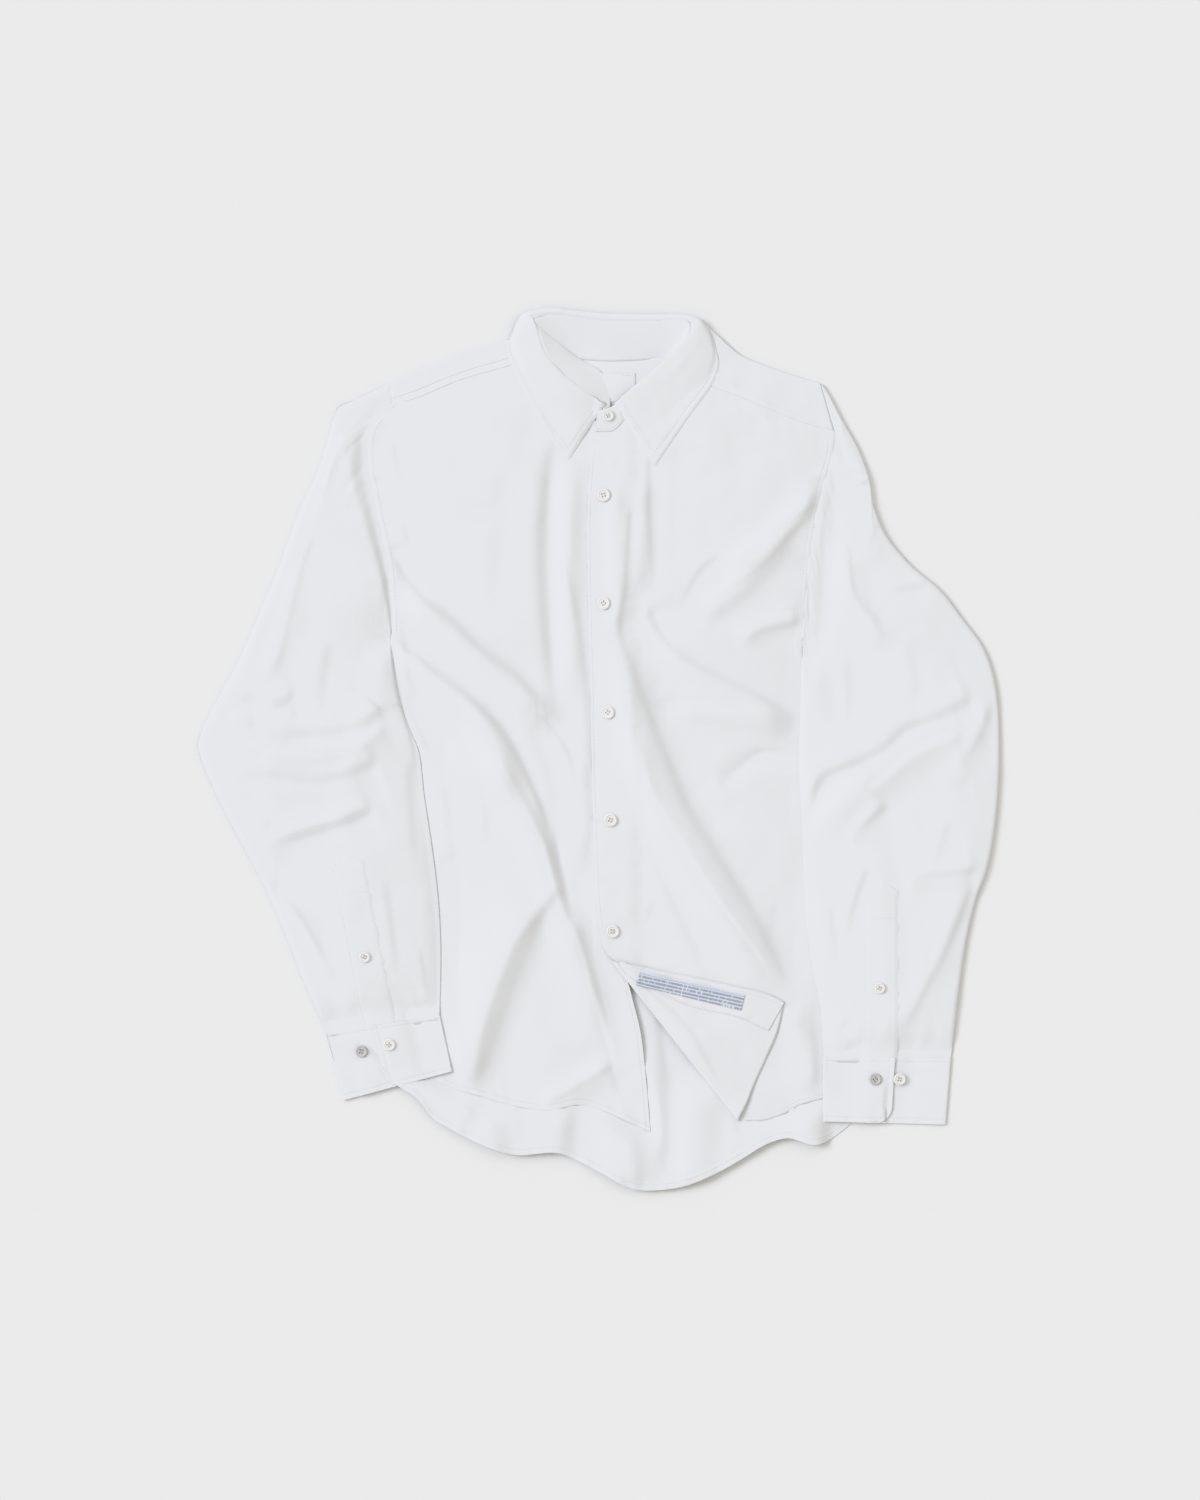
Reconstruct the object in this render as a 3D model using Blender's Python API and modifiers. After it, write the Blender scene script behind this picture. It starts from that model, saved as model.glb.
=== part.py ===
"""Long-sleeved button-up shirt laid on its back, buttoned, with one lower front corner turned back.

Left and right are the wearer's: the wearer's left front and sleeve lie on the +X side.
+Y points to the collar and +Z up from the surface that the shirt lies on. The origin is under
the middle of the shirt. All tables are in millimetres, measured from that origin.

Every panel is a wall of one thickness about a middle surface, which is a grid: X and Y come
from the panel's edges, and Z from the height of what it lies on plus soft folds. A fold is a
row of a table: a curved crest line, a height (negative in a trough) and a width on each side.
"""

import math

import bpy
import numpy as np
from mathutils import Vector
from mathutils.bvhtree import BVHTree

MM = 0.001

# Walls and clearances, in millimetres
CLOTH = 1.2               # wall of a single layer of shirting
STIFF = 1.5               # wall of the interlined cuffs, collar leaf and stand
TRIM = 1.0                # wall of the labels, the facing and the sleeve plackets
SEAM_GAP = 0.3            # between the edges of two pieces that are sewn together
SLEEVE_GAP = 0.6          # from an armhole to its sleeve
LAYER_GAP = 0.4           # between a piece and what it lies on

# Body
BACK_LEVEL = CLOTH / 2    # middle of the wall that lies on the surface
YOKE_START = 0.006        # place along the shoulder where the yoke starts, clear of the sleeve
ARMHOLE_LEVEL = 5.0       # middle of the front's wall where it meets the sleeves
SIDE_LEVEL = 2.8          # middle of the front's wall along the side seams
FRONT_PUFF = 6.0          # how far the middle of the front stands above its edges
PUFF_REACH = 90.0         # how far in from its edges the front takes to rise
SEAM_FADE = 14.0          # how far in from the seams and sleeves the folds start
PIT_RIGHT = 104.0         # Y of the right underarm
PIT_LEFT = 89.0           # Y of the left underarm
YOKE_SEAM_Y = 262.0       # Y of the seam between the back and the yoke
OVERLAP_LIFT = 3.2        # how far the left front stands above the right front it overlaps
OVERLAP_RAMP = 14.0       # length over which it comes down again beyond the overlap

# Turned-back corner of the left front
FOLD_TOP = (3.0, -178.0)
FOLD_FOOT = (127.0, -334.5)
FOLD_RADIUS = 2.0
FOLD_OPENING = 18.0       # width over which the corner opens from the fold's head into the roll
FLAP_RISE = 2.0           # how much further the turned corner's free edge stands up
FLAP_RISE_RUN = 60.0      # within this distance of the fold

# Sleeves
SLEEVE_DEPTH = 4.4        # from the under wall to the upper wall
SLEEVE_PUFF = 4.0         # added to it along the sleeve's middle
EDGE_ROUND = 4.0          # how far in from its edges a sleeve takes to reach its depth
ARMHOLE_TOP = (0.0, 0.006, 0.024)      # places along the armhole that round the sleeve's edges
ARMHOLE_FOOT = (0.976, 0.994, 1.0)
ARMHOLE_LAST = 0.94       # place of the last column before the rounded edge
CLIMB = 30.0              # length below the underarm in which a sleeve climbs on to the body
CLIMB_RAMP = 26.0         # width beside the body in which its under wall comes down again
CLIMB_CLEAR = 2.0         # clearance between a sleeve and the front under it

# Cuffs
CUFF_LAYER = 2.3          # from one layer of a cuff to the next, middle to middle
CUFF_LAP_CLEAR = 0.12     # how far beyond its under end the top end comes down, across the cuff
CUFF_LAP_RAMP = 0.08
CUFF_ROWS = (0.0, 0.38, 0.75, 0.88, 1.0)     # places down a cuff
CUFF_COLUMNS = (7, 8, 9)  # along its under end, its flat under layer and its top end

# Trims
FACING_START = 13         # point of the turned edge at which its facing starts
FACING_INSET = 1.2        # of the facing from that edge
FEEL_STRIP = 4.0          # how far round its points a strip feels for what it lies on
FEEL_PLACKET = 5.0        # the same for a sleeve placket, and for the collar leaf
FEEL_LEAF = 3.0

# Buttons
BUTTON_THICK = 2.4
BUTTON_DISH = 0.72        # height of its dished middle, as a share of its thickness
BUTTON_SIDES = 12
BUTTON_SAMPLES = 24       # directions in which the cloth under a button is felt for
FRONT_BUTTON = 12.0
CUFF_BUTTON = 11.0
PLACKET_BUTTON = 10.0

# Grids: rows along a piece by columns across it
BACK_ROWS = 15
BACK_SIDE_ROWS = 6        # of which at least this many down the side
BACK_COLUMNS = 13
YOKE_ROWS = 5
SHOULDER_COLUMNS = 9      # along each yoke seam, in the yoke and in the front alike
NECK_COLUMNS = 7
ARMHOLE_ROWS = 13         # along each armhole, in the front and in the sleeve alike
SIDE_ROWS = 19            # from the underarm to the hem
FRONT_NECK_COLUMNS = 11
FOLD_ROW = 24             # row of the left front at which its turned-back corner starts
FLAP_COLUMNS = 8
ROLL_COLUMNS = 4          # of which this many go round the fold
SLEEVE_RINGS = 23
COLLAR_COLUMNS = 38
STAND_ROWS = 4
LEAF_STEP = 6             # of a section's 36 steps from the lip to the edge, in one row

# ---------------------------------------------------------------------------------------
# Edges of the pieces. Columns: X, Y
# ---------------------------------------------------------------------------------------
RIGHT_ARMHOLE = [(-190, 328), (-187, 311), (-196, 300), (-205, 288), (-209, 272), (-207, 247),
                 (-200, 211), (-192, 175), (-188, 140), (-187, 120), (-187, PIT_RIGHT)]
LEFT_ARMHOLE = [(200, 328), (207, 314), (212, 300), (212, 286), (209, 262), (203, 242),
                (197, 218), (191, 186), (187, 150), (184, 116), (182, PIT_LEFT)]
RIGHT_SIDE = [(-187, PIT_RIGHT), (-184, 76), (-194, 44), (-212, 0), (-224, -60), (-226, -136),
              (-222, -200), (-214, -253)]
LEFT_SIDE = [(182, PIT_LEFT), (179, 58), (190, 26), (218, -10), (240, -60), (250, -136),
             (256, -220), (257, -291)]
RIGHT_YOKE_SEAM = [(-187, 311), (-162, 318), (-126, 333), (-85, 345), (-49, 357)]
LEFT_YOKE_SEAM = [(76, 360), (88, 341), (101, 328), (126, 318), (152, 307), (180, 296), (212, 286)]
RIGHT_NECK = [(-49, 357), (-43, 342), (-31, 322), (-13, 304), (6, 291), (20, 289)]
LEFT_NECK = [(-4, 289), (10, 292), (32, 310), (50, 330), (66, 347), (76, 360)]
RIGHT_FRONT_EDGE = [(20, 289), (20, 170), (22, 44), (23, -90), (23, -190), (28, -218), (37, -255),
                    (42, -298), (46, -345)]
LEFT_FRONT_EDGE = [(-4, 289), (-9, 250), (-11, 200), (-10, 120), (-8, 50), (-7, -10), (-5, -91),
                   (-2, -145), FOLD_TOP]
RIGHT_HEM = [(-214, -253), (-180, -278), (-139, -302), (-108, -312), (-72, -322), (-45, -325),
             (-20, -320), (0, -324), (23, -334), (46, -345)]
LEFT_HEM = [FOLD_FOOT, (149, -334), (167, -328), (182, -320), (205, -314), (229, -307),
            (257, -291)]
TAIL_HEM = [(-214, -253), (-198, -287), (-181, -303), (-164, -314), (-151, -331), (-137, -340),
            (-110, -354), (-76, -365), (-40, -363), (-18, -371), (3, -382), (28, -395), (50, -397),
            (77, -393), (104, -382), (126, -370), (149, -356), (170, -350), (192, -356),
            (208, -351), (225, -338), (243, -320), (257, -291)]
RIGHT_SHOULDER = [(-190, 328), (-162, 341), (-126, 354), (-85, 367), (-50, 374)]
LEFT_SHOULDER = [(76, 372), (88, 372), (104, 363), (131, 352), (162, 340), (200, 328)]
BACK_NECK = [(-47, 357), (-22, 354), (9, 352), (40, 353), (76, 361)]
TURNED_EDGE = [FOLD_TOP, (18, -189), (45, -197), (90, -206), (126, -214), (149, -219), (166, -227)]
TURNED_HEM = [FOLD_FOOT, (137, -307), (149, -280), (160, -254), (166, -227)]
RIGHT_SLEEVE_OUTER = [(-190, 328), (-207, 320), (-221, 313), (-236, 306), (-245, 275), (-254, 248),
                      (-270, 214), (-289, 162), (-305, 124), (-322, 84), (-341, 49), (-357, 18),
                      (-361, 0), (-349, -31), (-334, -62), (-318, -92), (-301, -124), (-283, -165),
                      (-267, -206), (-252, -240), (-247, -255)]
RIGHT_SLEEVE_INNER = [(-187, PIT_RIGHT), (-186.5, 80), (-182, 53), (-177, 33), (-169, 13), (-162, -5),
                      (-158, -40), (-154, -66), (-149, -100), (-145, -136), (-143, -172),
                      (-143, -208), (-144, -240)]
LEFT_SLEEVE_OUTER = [(200, 328), (207, 317), (219, 294), (232, 271), (242, 244), (246, 220),
                     (257, 193), (279, 166), (306, 143), (327, 116), (345, 91), (355, 62), (359, 26),
                     (359, -28), (355, -73), (348, -109), (338, -136), (329, -176), (322, -226),
                     (316, -278)]
LEFT_SLEEVE_INNER = [(182, PIT_LEFT), (181, 44), (180, 8), (180, -19), (181, -46), (183, -82),
                     (184, -118), (186, -154), (190, -185), (195, -212), (199, -233), (202, -277)]

# Cuffs: corners at the sleeve seam and at the open edge; where across the cuff its hidden
# under end and its top end lie (0 outer edge, 1 inner edge), and the top end's corner radius
RIGHT_CUFF = {"seam_outer": (-247, -255), "seam_inner": (-144, -240), "edge_outer": (-230, -316),
              "edge_inner": (-133, -290), "beside": [(-133, -290), (-128, -330)],
              "under_end": 0.66, "top_end": 0.41, "corner": 15.0}
LEFT_CUFF = {"seam_outer": (316, -278), "seam_inner": (202, -277), "edge_outer": (311, -338),
             "edge_inner": (201, -335), "beside": [(201, -335), (201, -350)],
             "under_end": 0.66, "top_end": 0.44, "corner": 15.0}

# ---------------------------------------------------------------------------------------
# Folds. Columns: crest line's start, middle and end (X, Y each), height, and width to the
# left and to the right of the line, walking from its start to its end
# ---------------------------------------------------------------------------------------
FOLD_COLUMNS = ("x0", "y0", "xm", "ym", "x1", "y1", "height", "left", "right")
RIGHT_FRONT_FOLDS = [
    (-43, 282, -44, 160, -38, 40, -4.0, 9, 9),
    (-26, 275, -28, 160, -25, 36, 4.0, 10, 10),
    (-190, 150, -108, 80, -34, 20, 9.0, 12, 17),
    (-190, 96, -112, 32, -70, -52, 8.0, 11, 17),
    (-182, 76, -165, 34, -128, -8, -3.0, 9, 9),
    (-124, 20, -52, -92, 8, -280, 9.0, 10, 17),
    (-42, -74, -35, -114, -22, -170, -3.5, 6, 6),
    (-50, -120, -88, -205, -124, -316, 10.0, 15, 30),
    (-136, -80, -130, -180, -120, -275, -4.0, 10, 12),
    (16, -280, -18, -302, -56, -322, 5.0, 12, 10),
]
LEFT_FRONT_FOLDS = [
    (14, 250, 15, 175, 17, 96, 4.5, 10, 10),
    (38, 250, 36, 195, 33, 135, 4.0, 9, 11),
    (14, 116, 48, -32, 158, -222, 10.0, 20, 15),
    (28, 24, 58, -82, 122, -184, 3.0, 8, 10),
    (46, 102, 100, 60, 180, 22, 5.0, 9, 13),
    (60, 36, 118, 30, 176, 17, 3.5, 8, 10),
    (106, -32, 140, -8, 180, -14, -3.5, 9, 9),
    (84, 114, 128, 148, 174, 194, 5.0, 12, 10),
    (108, 156, 158, 190, 204, 240, 6.0, 12, 10),
    (122, 94, 150, 112, 186, 120, 3.5, 9, 9),
    (170, -230, 186, -270, 190, -312, 4.0, 12, 14),
]
RIGHT_SLEEVE_FOLDS = [
    (-234, 308, -212, 220, -194, 92, 10.0, 13, 38),
    (-262, 175, -278, 116, -303, 56, 3.5, 12, 12),
    (-338, 29, -302, 34, -266, 38, 4.0, 9, 11),
    (-318, 6, -262, -2, -184, 26, 8.0, 11, 14),
    (-348, -24, -278, -36, -204, -20, 5.0, 10, 13),
    (-308, -92, -262, -74, -214, -56, 3.0, 9, 9),
    (-298, -134, -266, -156, -232, -212, 3.5, 10, 10),
]
LEFT_SLEEVE_FOLDS = [
    (214, 240, 206, 160, 203, 76, -3.0, 11, 10),
    (222, 186, 230, 138, 262, 84, 4.5, 11, 13),
    (186, -80, 256, -14, 340, 36, 10.0, 13, 18),
    (316, -22, 340, 6, 352, 42, 3.0, 10, 10),
    (222, -86, 238, -66, 260, -46, 3.0, 9, 10),
    (270, -116, 306, -116, 340, -112, 4.0, 9, 10),
    (336, -122, 306, -184, 268, -262, 4.0, 13, 13),
    (214, 300, 226, 276, 238, 244, 3.0, 12, 12),
]
TAIL_FOLDS = [
    (20, -300, 24, -346, 30, -400, 5.0, 12, 22),
    (88, -300, 84, -346, 80, -400, 4.5, 20, 14),
    (-100, -326, -98, -348, -92, -384, 4.0, 14, 14),
    (186, -326, 188, -346, 196, -376, 4.0, 12, 14),
]

# ---------------------------------------------------------------------------------------
# Collar sections, from the right front point round the back of the neck to the left one
# ---------------------------------------------------------------------------------------
# Leaf. Columns: roll line (X, Y, Z), halfway down the leaf (X, Y, Z), its edge (X, Y, Z)
LEAF_SECTIONS = [
    (5, 309, 18.6, -12, 284, 17.0, -28, 258, 13.0),
    (-12, 323, 20.0, -29, 303, 18.5, -45, 281, 13.5),
    (-31, 336, 21.5, -48, 325, 19.0, -63, 312, 13.5),
    (-48, 356, 23.0, -63, 348, 19.5, -75, 337, 13.0),
    (-58, 376, 24.5, -74, 371, 18.5, -84, 358, 10.5),
    (-61, 384, 24.5, -77, 379, 14.0, -83, 374, 9.0),
    (-64, 391, 24.0, -75, 389, 11.0, -71, 388, 3.5),
    (-42, 393, 22.0, -46, 395.5, 10.0, -43, 380, 1.4),
    (-20, 391, 21.0, -22, 394, 9.0, -20, 366, 1.0),
    (9, 388, 20.5, 9, 392, 8.0, 9, 361, 1.0),
    (40, 388, 21.0, 41, 392, 8.0, 38, 362, 1.0),
    (66, 388, 22.0, 69, 392, 9.0, 64, 374, 1.2),
    (82, 388, 23.0, 88, 390, 10.0, 85, 385, 3.5),
    (90, 385, 23.0, 99, 380, 12.0, 102, 376, 8.5),
    (87, 378, 22.8, 99, 369, 15.5, 107, 359, 10.5),
    (80, 371, 22.5, 96, 359, 17.5, 107, 343, 12.0),
    (67, 359, 21.5, 85, 344, 18.0, 99, 324, 13.0),
    (49, 342, 20.5, 67, 323, 17.5, 82, 301, 13.0),
    (31, 327, 19.8, 49, 302, 17.0, 64, 275, 12.5),
    (13, 311, 18.6, 31, 282, 16.5, 49, 253, 12.5),
]
LEAF_LIP = 1.6            # how far the leaf reaches inside its roll line, down to the stand
LEAF_OVER_BODY = 8.0      # above this height the leaf lies over the fronts, and below it under
# Stand. Columns: foot of the band (X, Y, Z), its top edge (X, Y, Z)
STAND_SECTIONS = [
    (7, 294, 8.2, 6, 306, 11.6),
    (-12, 306.5, 8.0, -10, 318, 14.5),
    (-29, 324.5, 7.5, -27, 332, 17.2),
    (-40, 343, 6.0, -42, 352, 19.4),
    (-44, 355, 4.0, -52, 371, 20.8),
    (-41, 360, 2.4, -57, 384, 20.8),
    (-22, 357, 1.8, -36, 385, 18.6),
    (9, 355, 1.8, 9, 381, 17.2),
    (40, 356, 1.8, 56, 381, 18.4),
    (68, 362, 2.4, 80, 380, 19.8),
    (72, 357.5, 4.0, 75, 371, 19.4),
    (63, 347, 6.0, 61, 355, 18.2),
    (47, 331, 7.5, 44, 339, 16.8),
    (30, 312, 8.5, 27, 323, 16.0),
    (12, 295, 11.6, 13, 306, 15.2),
    (-3, 291.5, 12.8, -2, 304, 15.8),
]

# Trims: outlines and places
RIGHT_PLACKET = {"foot": (-198.5, -246), "head": (-228, -94), "width": 31.0, "point": 10.0}
LEFT_PLACKET = {"foot": (253, -274), "head": (253, -118), "width": 32.0, "point": 9.0}
NECK_LABEL = [(-9, 338), (32, 338), (32, 312), (-9, 312)]
CARE_LABEL = [(36, -200), (131, -221), (127, -235), (33, -212)]
FACING_INNER = [(16, -193), (30, -207), (82, -231), (122, -240), (152, -253)]

# Buttons. Columns: X, Y
FRONT_BUTTONS = [(4, 228), (4, 131), (8, 33), (10, -64), (12, -164)]
COLLAR_BUTTON_PLACE = (8, 299.5)
RIGHT_CUFF_BUTTONS = [(-189, -266), (-214, -272)]
LEFT_CUFF_BUTTONS = [(248, -297), (270, -297)]
RIGHT_PLACKET_BUTTON = (-211, -187)
LEFT_PLACKET_BUTTON = (252, -215)

# Finishes: base colour and roughness
WHITE_CLOTH = ((0.83, 0.84, 0.86, 1.0), 0.85)
PEARL = ((0.80, 0.78, 0.74, 1.0), 0.25)
GREY_PEARL = ((0.42, 0.41, 0.39, 1.0), 0.25)
LABEL_TAPE = ((0.62, 0.64, 0.70, 1.0), 0.7)


# ---------------------------------------------------------------------------------------
# Curves, patches and folds
# ---------------------------------------------------------------------------------------
def smooth_step(value):
    """0 below 0, 1 above 1, and a soft S between."""
    value = np.clip(value, 0.0, 1.0)
    return value * value * (3.0 - 2.0 * value)


def rounded(points):
    """Closely spaced points of a smooth curve (Catmull-Rom) through the given ones."""
    knots = np.asarray(points, float)
    padded = np.vstack([2 * knots[0] - knots[1], knots, 2 * knots[-1] - knots[-2]])
    step = np.linspace(0.0, 1.0, 12, endpoint=False)[:, None]
    spans = []
    for before, start, end, after in zip(padded, padded[1:], padded[2:], padded[3:]):
        spans.append(0.5 * (2 * start + (end - before) * step
                            + (2 * before - 5 * start + 4 * end - after) * step ** 2
                            + (3 * start - before - 3 * end + after) * step ** 3))
    return np.vstack(spans + [knots[-1:]])


def at(line, places):
    """Points of a line at the given places, 0 to 1 of its length, in the places' own shape."""
    length = np.concatenate([[0.0], np.cumsum(np.linalg.norm(np.diff(line, axis=0), axis=1))])
    wanted = length[-1] * np.asarray(places, float)
    return np.stack([np.interp(wanted, length, axis) for axis in line.T], axis=-1)


def patch(start, end, side_a, side_b, down, over):
    """Coons patch between four edges given as points: (columns, 2) or a whole grid of them.

    `down` and `over` are the places, 0 to 1, that blend start into end and side_a into side_b.
    """
    down, over = np.asarray(down, float), np.asarray(over, float)
    d = down[:, None, None] if down.ndim == 1 else down[..., None]
    o = over[None, :, None] if over.ndim == 1 else over[..., None]
    side_a, side_b = side_a[:, None], side_b[:, None]
    ruled = (1 - d) * start + d * end
    sided = (1 - o) * side_a + o * side_b
    corners = ((1 - d) * ((1 - o) * side_a[0] + o * side_b[0])
               + d * ((1 - o) * side_a[-1] + o * side_b[-1]))
    return ruled + sided - corners


def pushed(line, distance):
    """A line moved sideways by a distance, to the left of its course."""
    ahead = np.gradient(line, axis=0)
    ahead /= np.maximum(np.linalg.norm(ahead, axis=1), 1e-9)[:, None]
    return line + distance * np.column_stack([-ahead[:, 1], ahead[:, 0]])


def length_of(line):
    """Length of a line."""
    return np.linalg.norm(np.diff(line, axis=0), axis=1).sum()


def nearest_on(xy, line):
    """Index of the nearest point of a line for each XY point, and the step from it."""
    step = xy.reshape(-1, 1, 2) - line[None]
    nearest = np.argmin((step ** 2).sum(axis=2), axis=1)
    return nearest, step[np.arange(len(nearest)), nearest]


def folds(xy, table):
    """Height of a table's folds at XY points: a bell across each crest, faded at its ends."""
    total = np.zeros(xy.shape[:-1]).ravel()
    for row in table:
        fold = dict(zip(FOLD_COLUMNS, row))
        crest = rounded([(fold["x0"], fold["y0"]), (fold["xm"], fold["ym"]),
                         (fold["x1"], fold["y1"])])
        ahead = np.gradient(crest, axis=0)
        ahead /= np.linalg.norm(ahead, axis=1)[:, None]
        nearest, step = nearest_on(xy, crest)
        ahead = ahead[nearest]
        to_left = ahead[:, 0] * step[:, 1] - ahead[:, 1] * step[:, 0]
        along = ahead[:, 0] * step[:, 0] + ahead[:, 1] * step[:, 1]
        width = np.where(to_left > 0, fold["left"], fold["right"])
        place = nearest / (len(crest) - 1)
        ends = smooth_step(place / 0.22) * smooth_step((1.0 - place) / 0.22)
        total += fold["height"] * ends * np.exp(-(to_left / width) ** 2 - (along / width) ** 2)
    return total.reshape(xy.shape[:-1])


def distance_to(xy, points):
    """Distance from XY points to a curve, positive on the curve's +X side."""
    _, step = nearest_on(xy, rounded(points))
    side = np.where(step[:, 0] < 0, -1.0, 1.0)
    return (side * np.linalg.norm(step, axis=1)).reshape(xy.shape[:-1])


# ---------------------------------------------------------------------------------------
# Heights of the middle surfaces
# ---------------------------------------------------------------------------------------
def front_height(xy):
    """Both fronts: low at the seams and under the sleeves, puffed and folded between them."""
    from_right = distance_to(xy, RIGHT_ARMHOLE + RIGHT_SLEEVE_INNER[1:] + RIGHT_CUFF["beside"])
    from_left = -distance_to(xy, LEFT_ARMHOLE + LEFT_SLEEVE_INNER[1:] + LEFT_CUFF["beside"])
    from_sides = np.maximum(np.minimum(from_right, from_left), 0.0)
    from_shoulders = np.minimum(np.abs(distance_to(xy, RIGHT_SHOULDER)),
                                np.abs(distance_to(xy, LEFT_SHOULDER)))
    pit = np.where(xy[..., 0] < 0, PIT_RIGHT, PIT_LEFT)
    edge = SIDE_LEVEL + (ARMHOLE_LEVEL - SIDE_LEVEL) * smooth_step((xy[..., 1] - pit + 70) / 70)
    inside = np.minimum(from_sides, from_shoulders) / PUFF_REACH
    puff = FRONT_PUFF * (1 - (1 - np.clip(inside, 0, 1)) ** 2)
    relief = folds(xy, RIGHT_FRONT_FOLDS) + folds(xy, LEFT_FRONT_FOLDS)
    relief = relief * smooth_step(from_sides / SEAM_FADE)
    return np.maximum(edge + puff + relief, SIDE_LEVEL)


def overlap_lift(xy):
    """Extra height of the left front where it passes over the right front."""
    beyond = distance_to(xy, RIGHT_FRONT_EDGE) - 3.0
    return OVERLAP_LIFT * smooth_step(1.0 - beyond / OVERLAP_RAMP)


def body_under(xy, side):
    """Top of what a sleeve or cuff lies on: the surface, or below the underarm the body's edge."""
    outside = side["away"] * distance_to(xy, side["armhole"] + side["seam"][1:])
    ramp = smooth_step(1.0 - outside / CLIMB_RAMP)
    climb = smooth_step((side["pit"] - xy[..., 1]) / CLIMB)
    return ramp * climb * (front_height(xy) + CLOTH / 2 + CLIMB_CLEAR)


RIGHT = {"name": "right", "away": -1.0, "pit": PIT_RIGHT, "armhole": RIGHT_ARMHOLE,
         "seam": RIGHT_SIDE, "outer": RIGHT_SLEEVE_OUTER, "inner": RIGHT_SLEEVE_INNER,
         "cuff": RIGHT_CUFF, "yoke_end": RIGHT_YOKE_SEAM[0], "placket": RIGHT_PLACKET,
         "folds": RIGHT_SLEEVE_FOLDS}
LEFT = {"name": "left", "away": 1.0, "pit": PIT_LEFT, "armhole": LEFT_ARMHOLE,
        "seam": LEFT_SIDE, "outer": LEFT_SLEEVE_OUTER, "inner": LEFT_SLEEVE_INNER,
        "cuff": LEFT_CUFF, "yoke_end": LEFT_YOKE_SEAM[-1], "placket": LEFT_PLACKET,
        "folds": LEFT_SLEEVE_FOLDS}


# ---------------------------------------------------------------------------------------
# Walls
# ---------------------------------------------------------------------------------------
def grid_faces(rows, columns, wrap=False, first=0):
    """Quads of a grid, facing up where its rows run towards +X and follow each other down."""
    count = columns if wrap else columns - 1
    quads = []
    for row in range(rows - 1):
        here = first + row * columns
        for column in range(count):
            beside = (column + 1) % columns
            quads.append((here + column, here + columns + column,
                          here + columns + beside, here + beside))
    return quads


def normals_of(points, quads):
    """Unit normal at every point, averaged from the quads round it."""
    quads = np.asarray(quads)
    normal = np.cross(points[quads[:, 2]] - points[quads[:, 0]],
                      points[quads[:, 3]] - points[quads[:, 1]])
    total = np.zeros_like(points)
    for corner in range(4):
        np.add.at(total, quads[:, corner], normal)
    return total / np.maximum(np.linalg.norm(total, axis=1), 1e-9)[:, None]


def upright(normals):
    """Steps along Z that give a wall its thickness, so that its rims stand square."""
    steps = np.zeros_like(normals)
    steps[:, 2] = np.sign(normals[:, 2]) / np.clip(np.abs(normals[:, 2]), 0.62, 1.0)
    return steps


def merge(points, quads):
    """Keep the points that faces use, join those that coincide, and drop doubled corners."""
    keys = {}
    place = {}
    for corner in sorted({corner for quad in quads for corner in quad}):
        place[corner] = keys.setdefault(tuple(np.round(points[corner, :3], 4)), corner)
    kept = sorted(keys.values())
    number = {corner: index for index, corner in enumerate(kept)}
    faces = []
    for quad in quads:
        corners = tuple(dict.fromkeys(number[place[corner]] for corner in quad))
        if len(corners) > 2:
            faces.append(corners)
    return points[kept], faces


def wall(points, quads, thickness, steps=None):
    """A closed wall about a middle surface: two skins and the rims between their open edges."""
    if steps is None:
        steps = upright(normals_of(points, quads))
    joined, faces = merge(np.hstack([points, steps]), quads)
    middle, steps = joined[:, :3], joined[:, 3:]
    count = len(middle)
    edges = {(face[k], face[(k + 1) % len(face)]) for face in faces for k in range(len(face))}
    shell = faces + [tuple(count + corner for corner in reversed(face)) for face in faces]
    for start, end in sorted(edges):
        if (end, start) not in edges:
            shell.append((end, start, count + start, count + end))
    half = steps * thickness / 2
    return np.vstack([middle + half, middle - half]), shell


def triangles_of(points, faces):
    """Faces cut into triangles, quads along their shorter diagonal."""
    triangles = []
    for face in faces:
        if len(face) == 4:
            a, b, c, d = (points[corner] for corner in face)
            if np.linalg.norm(c - a) > np.linalg.norm(d - b):
                face = face[1:] + face[:1]
            triangles.append((face[0], face[2], face[3]))
        triangles.append(face[:3])
    return triangles


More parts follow.
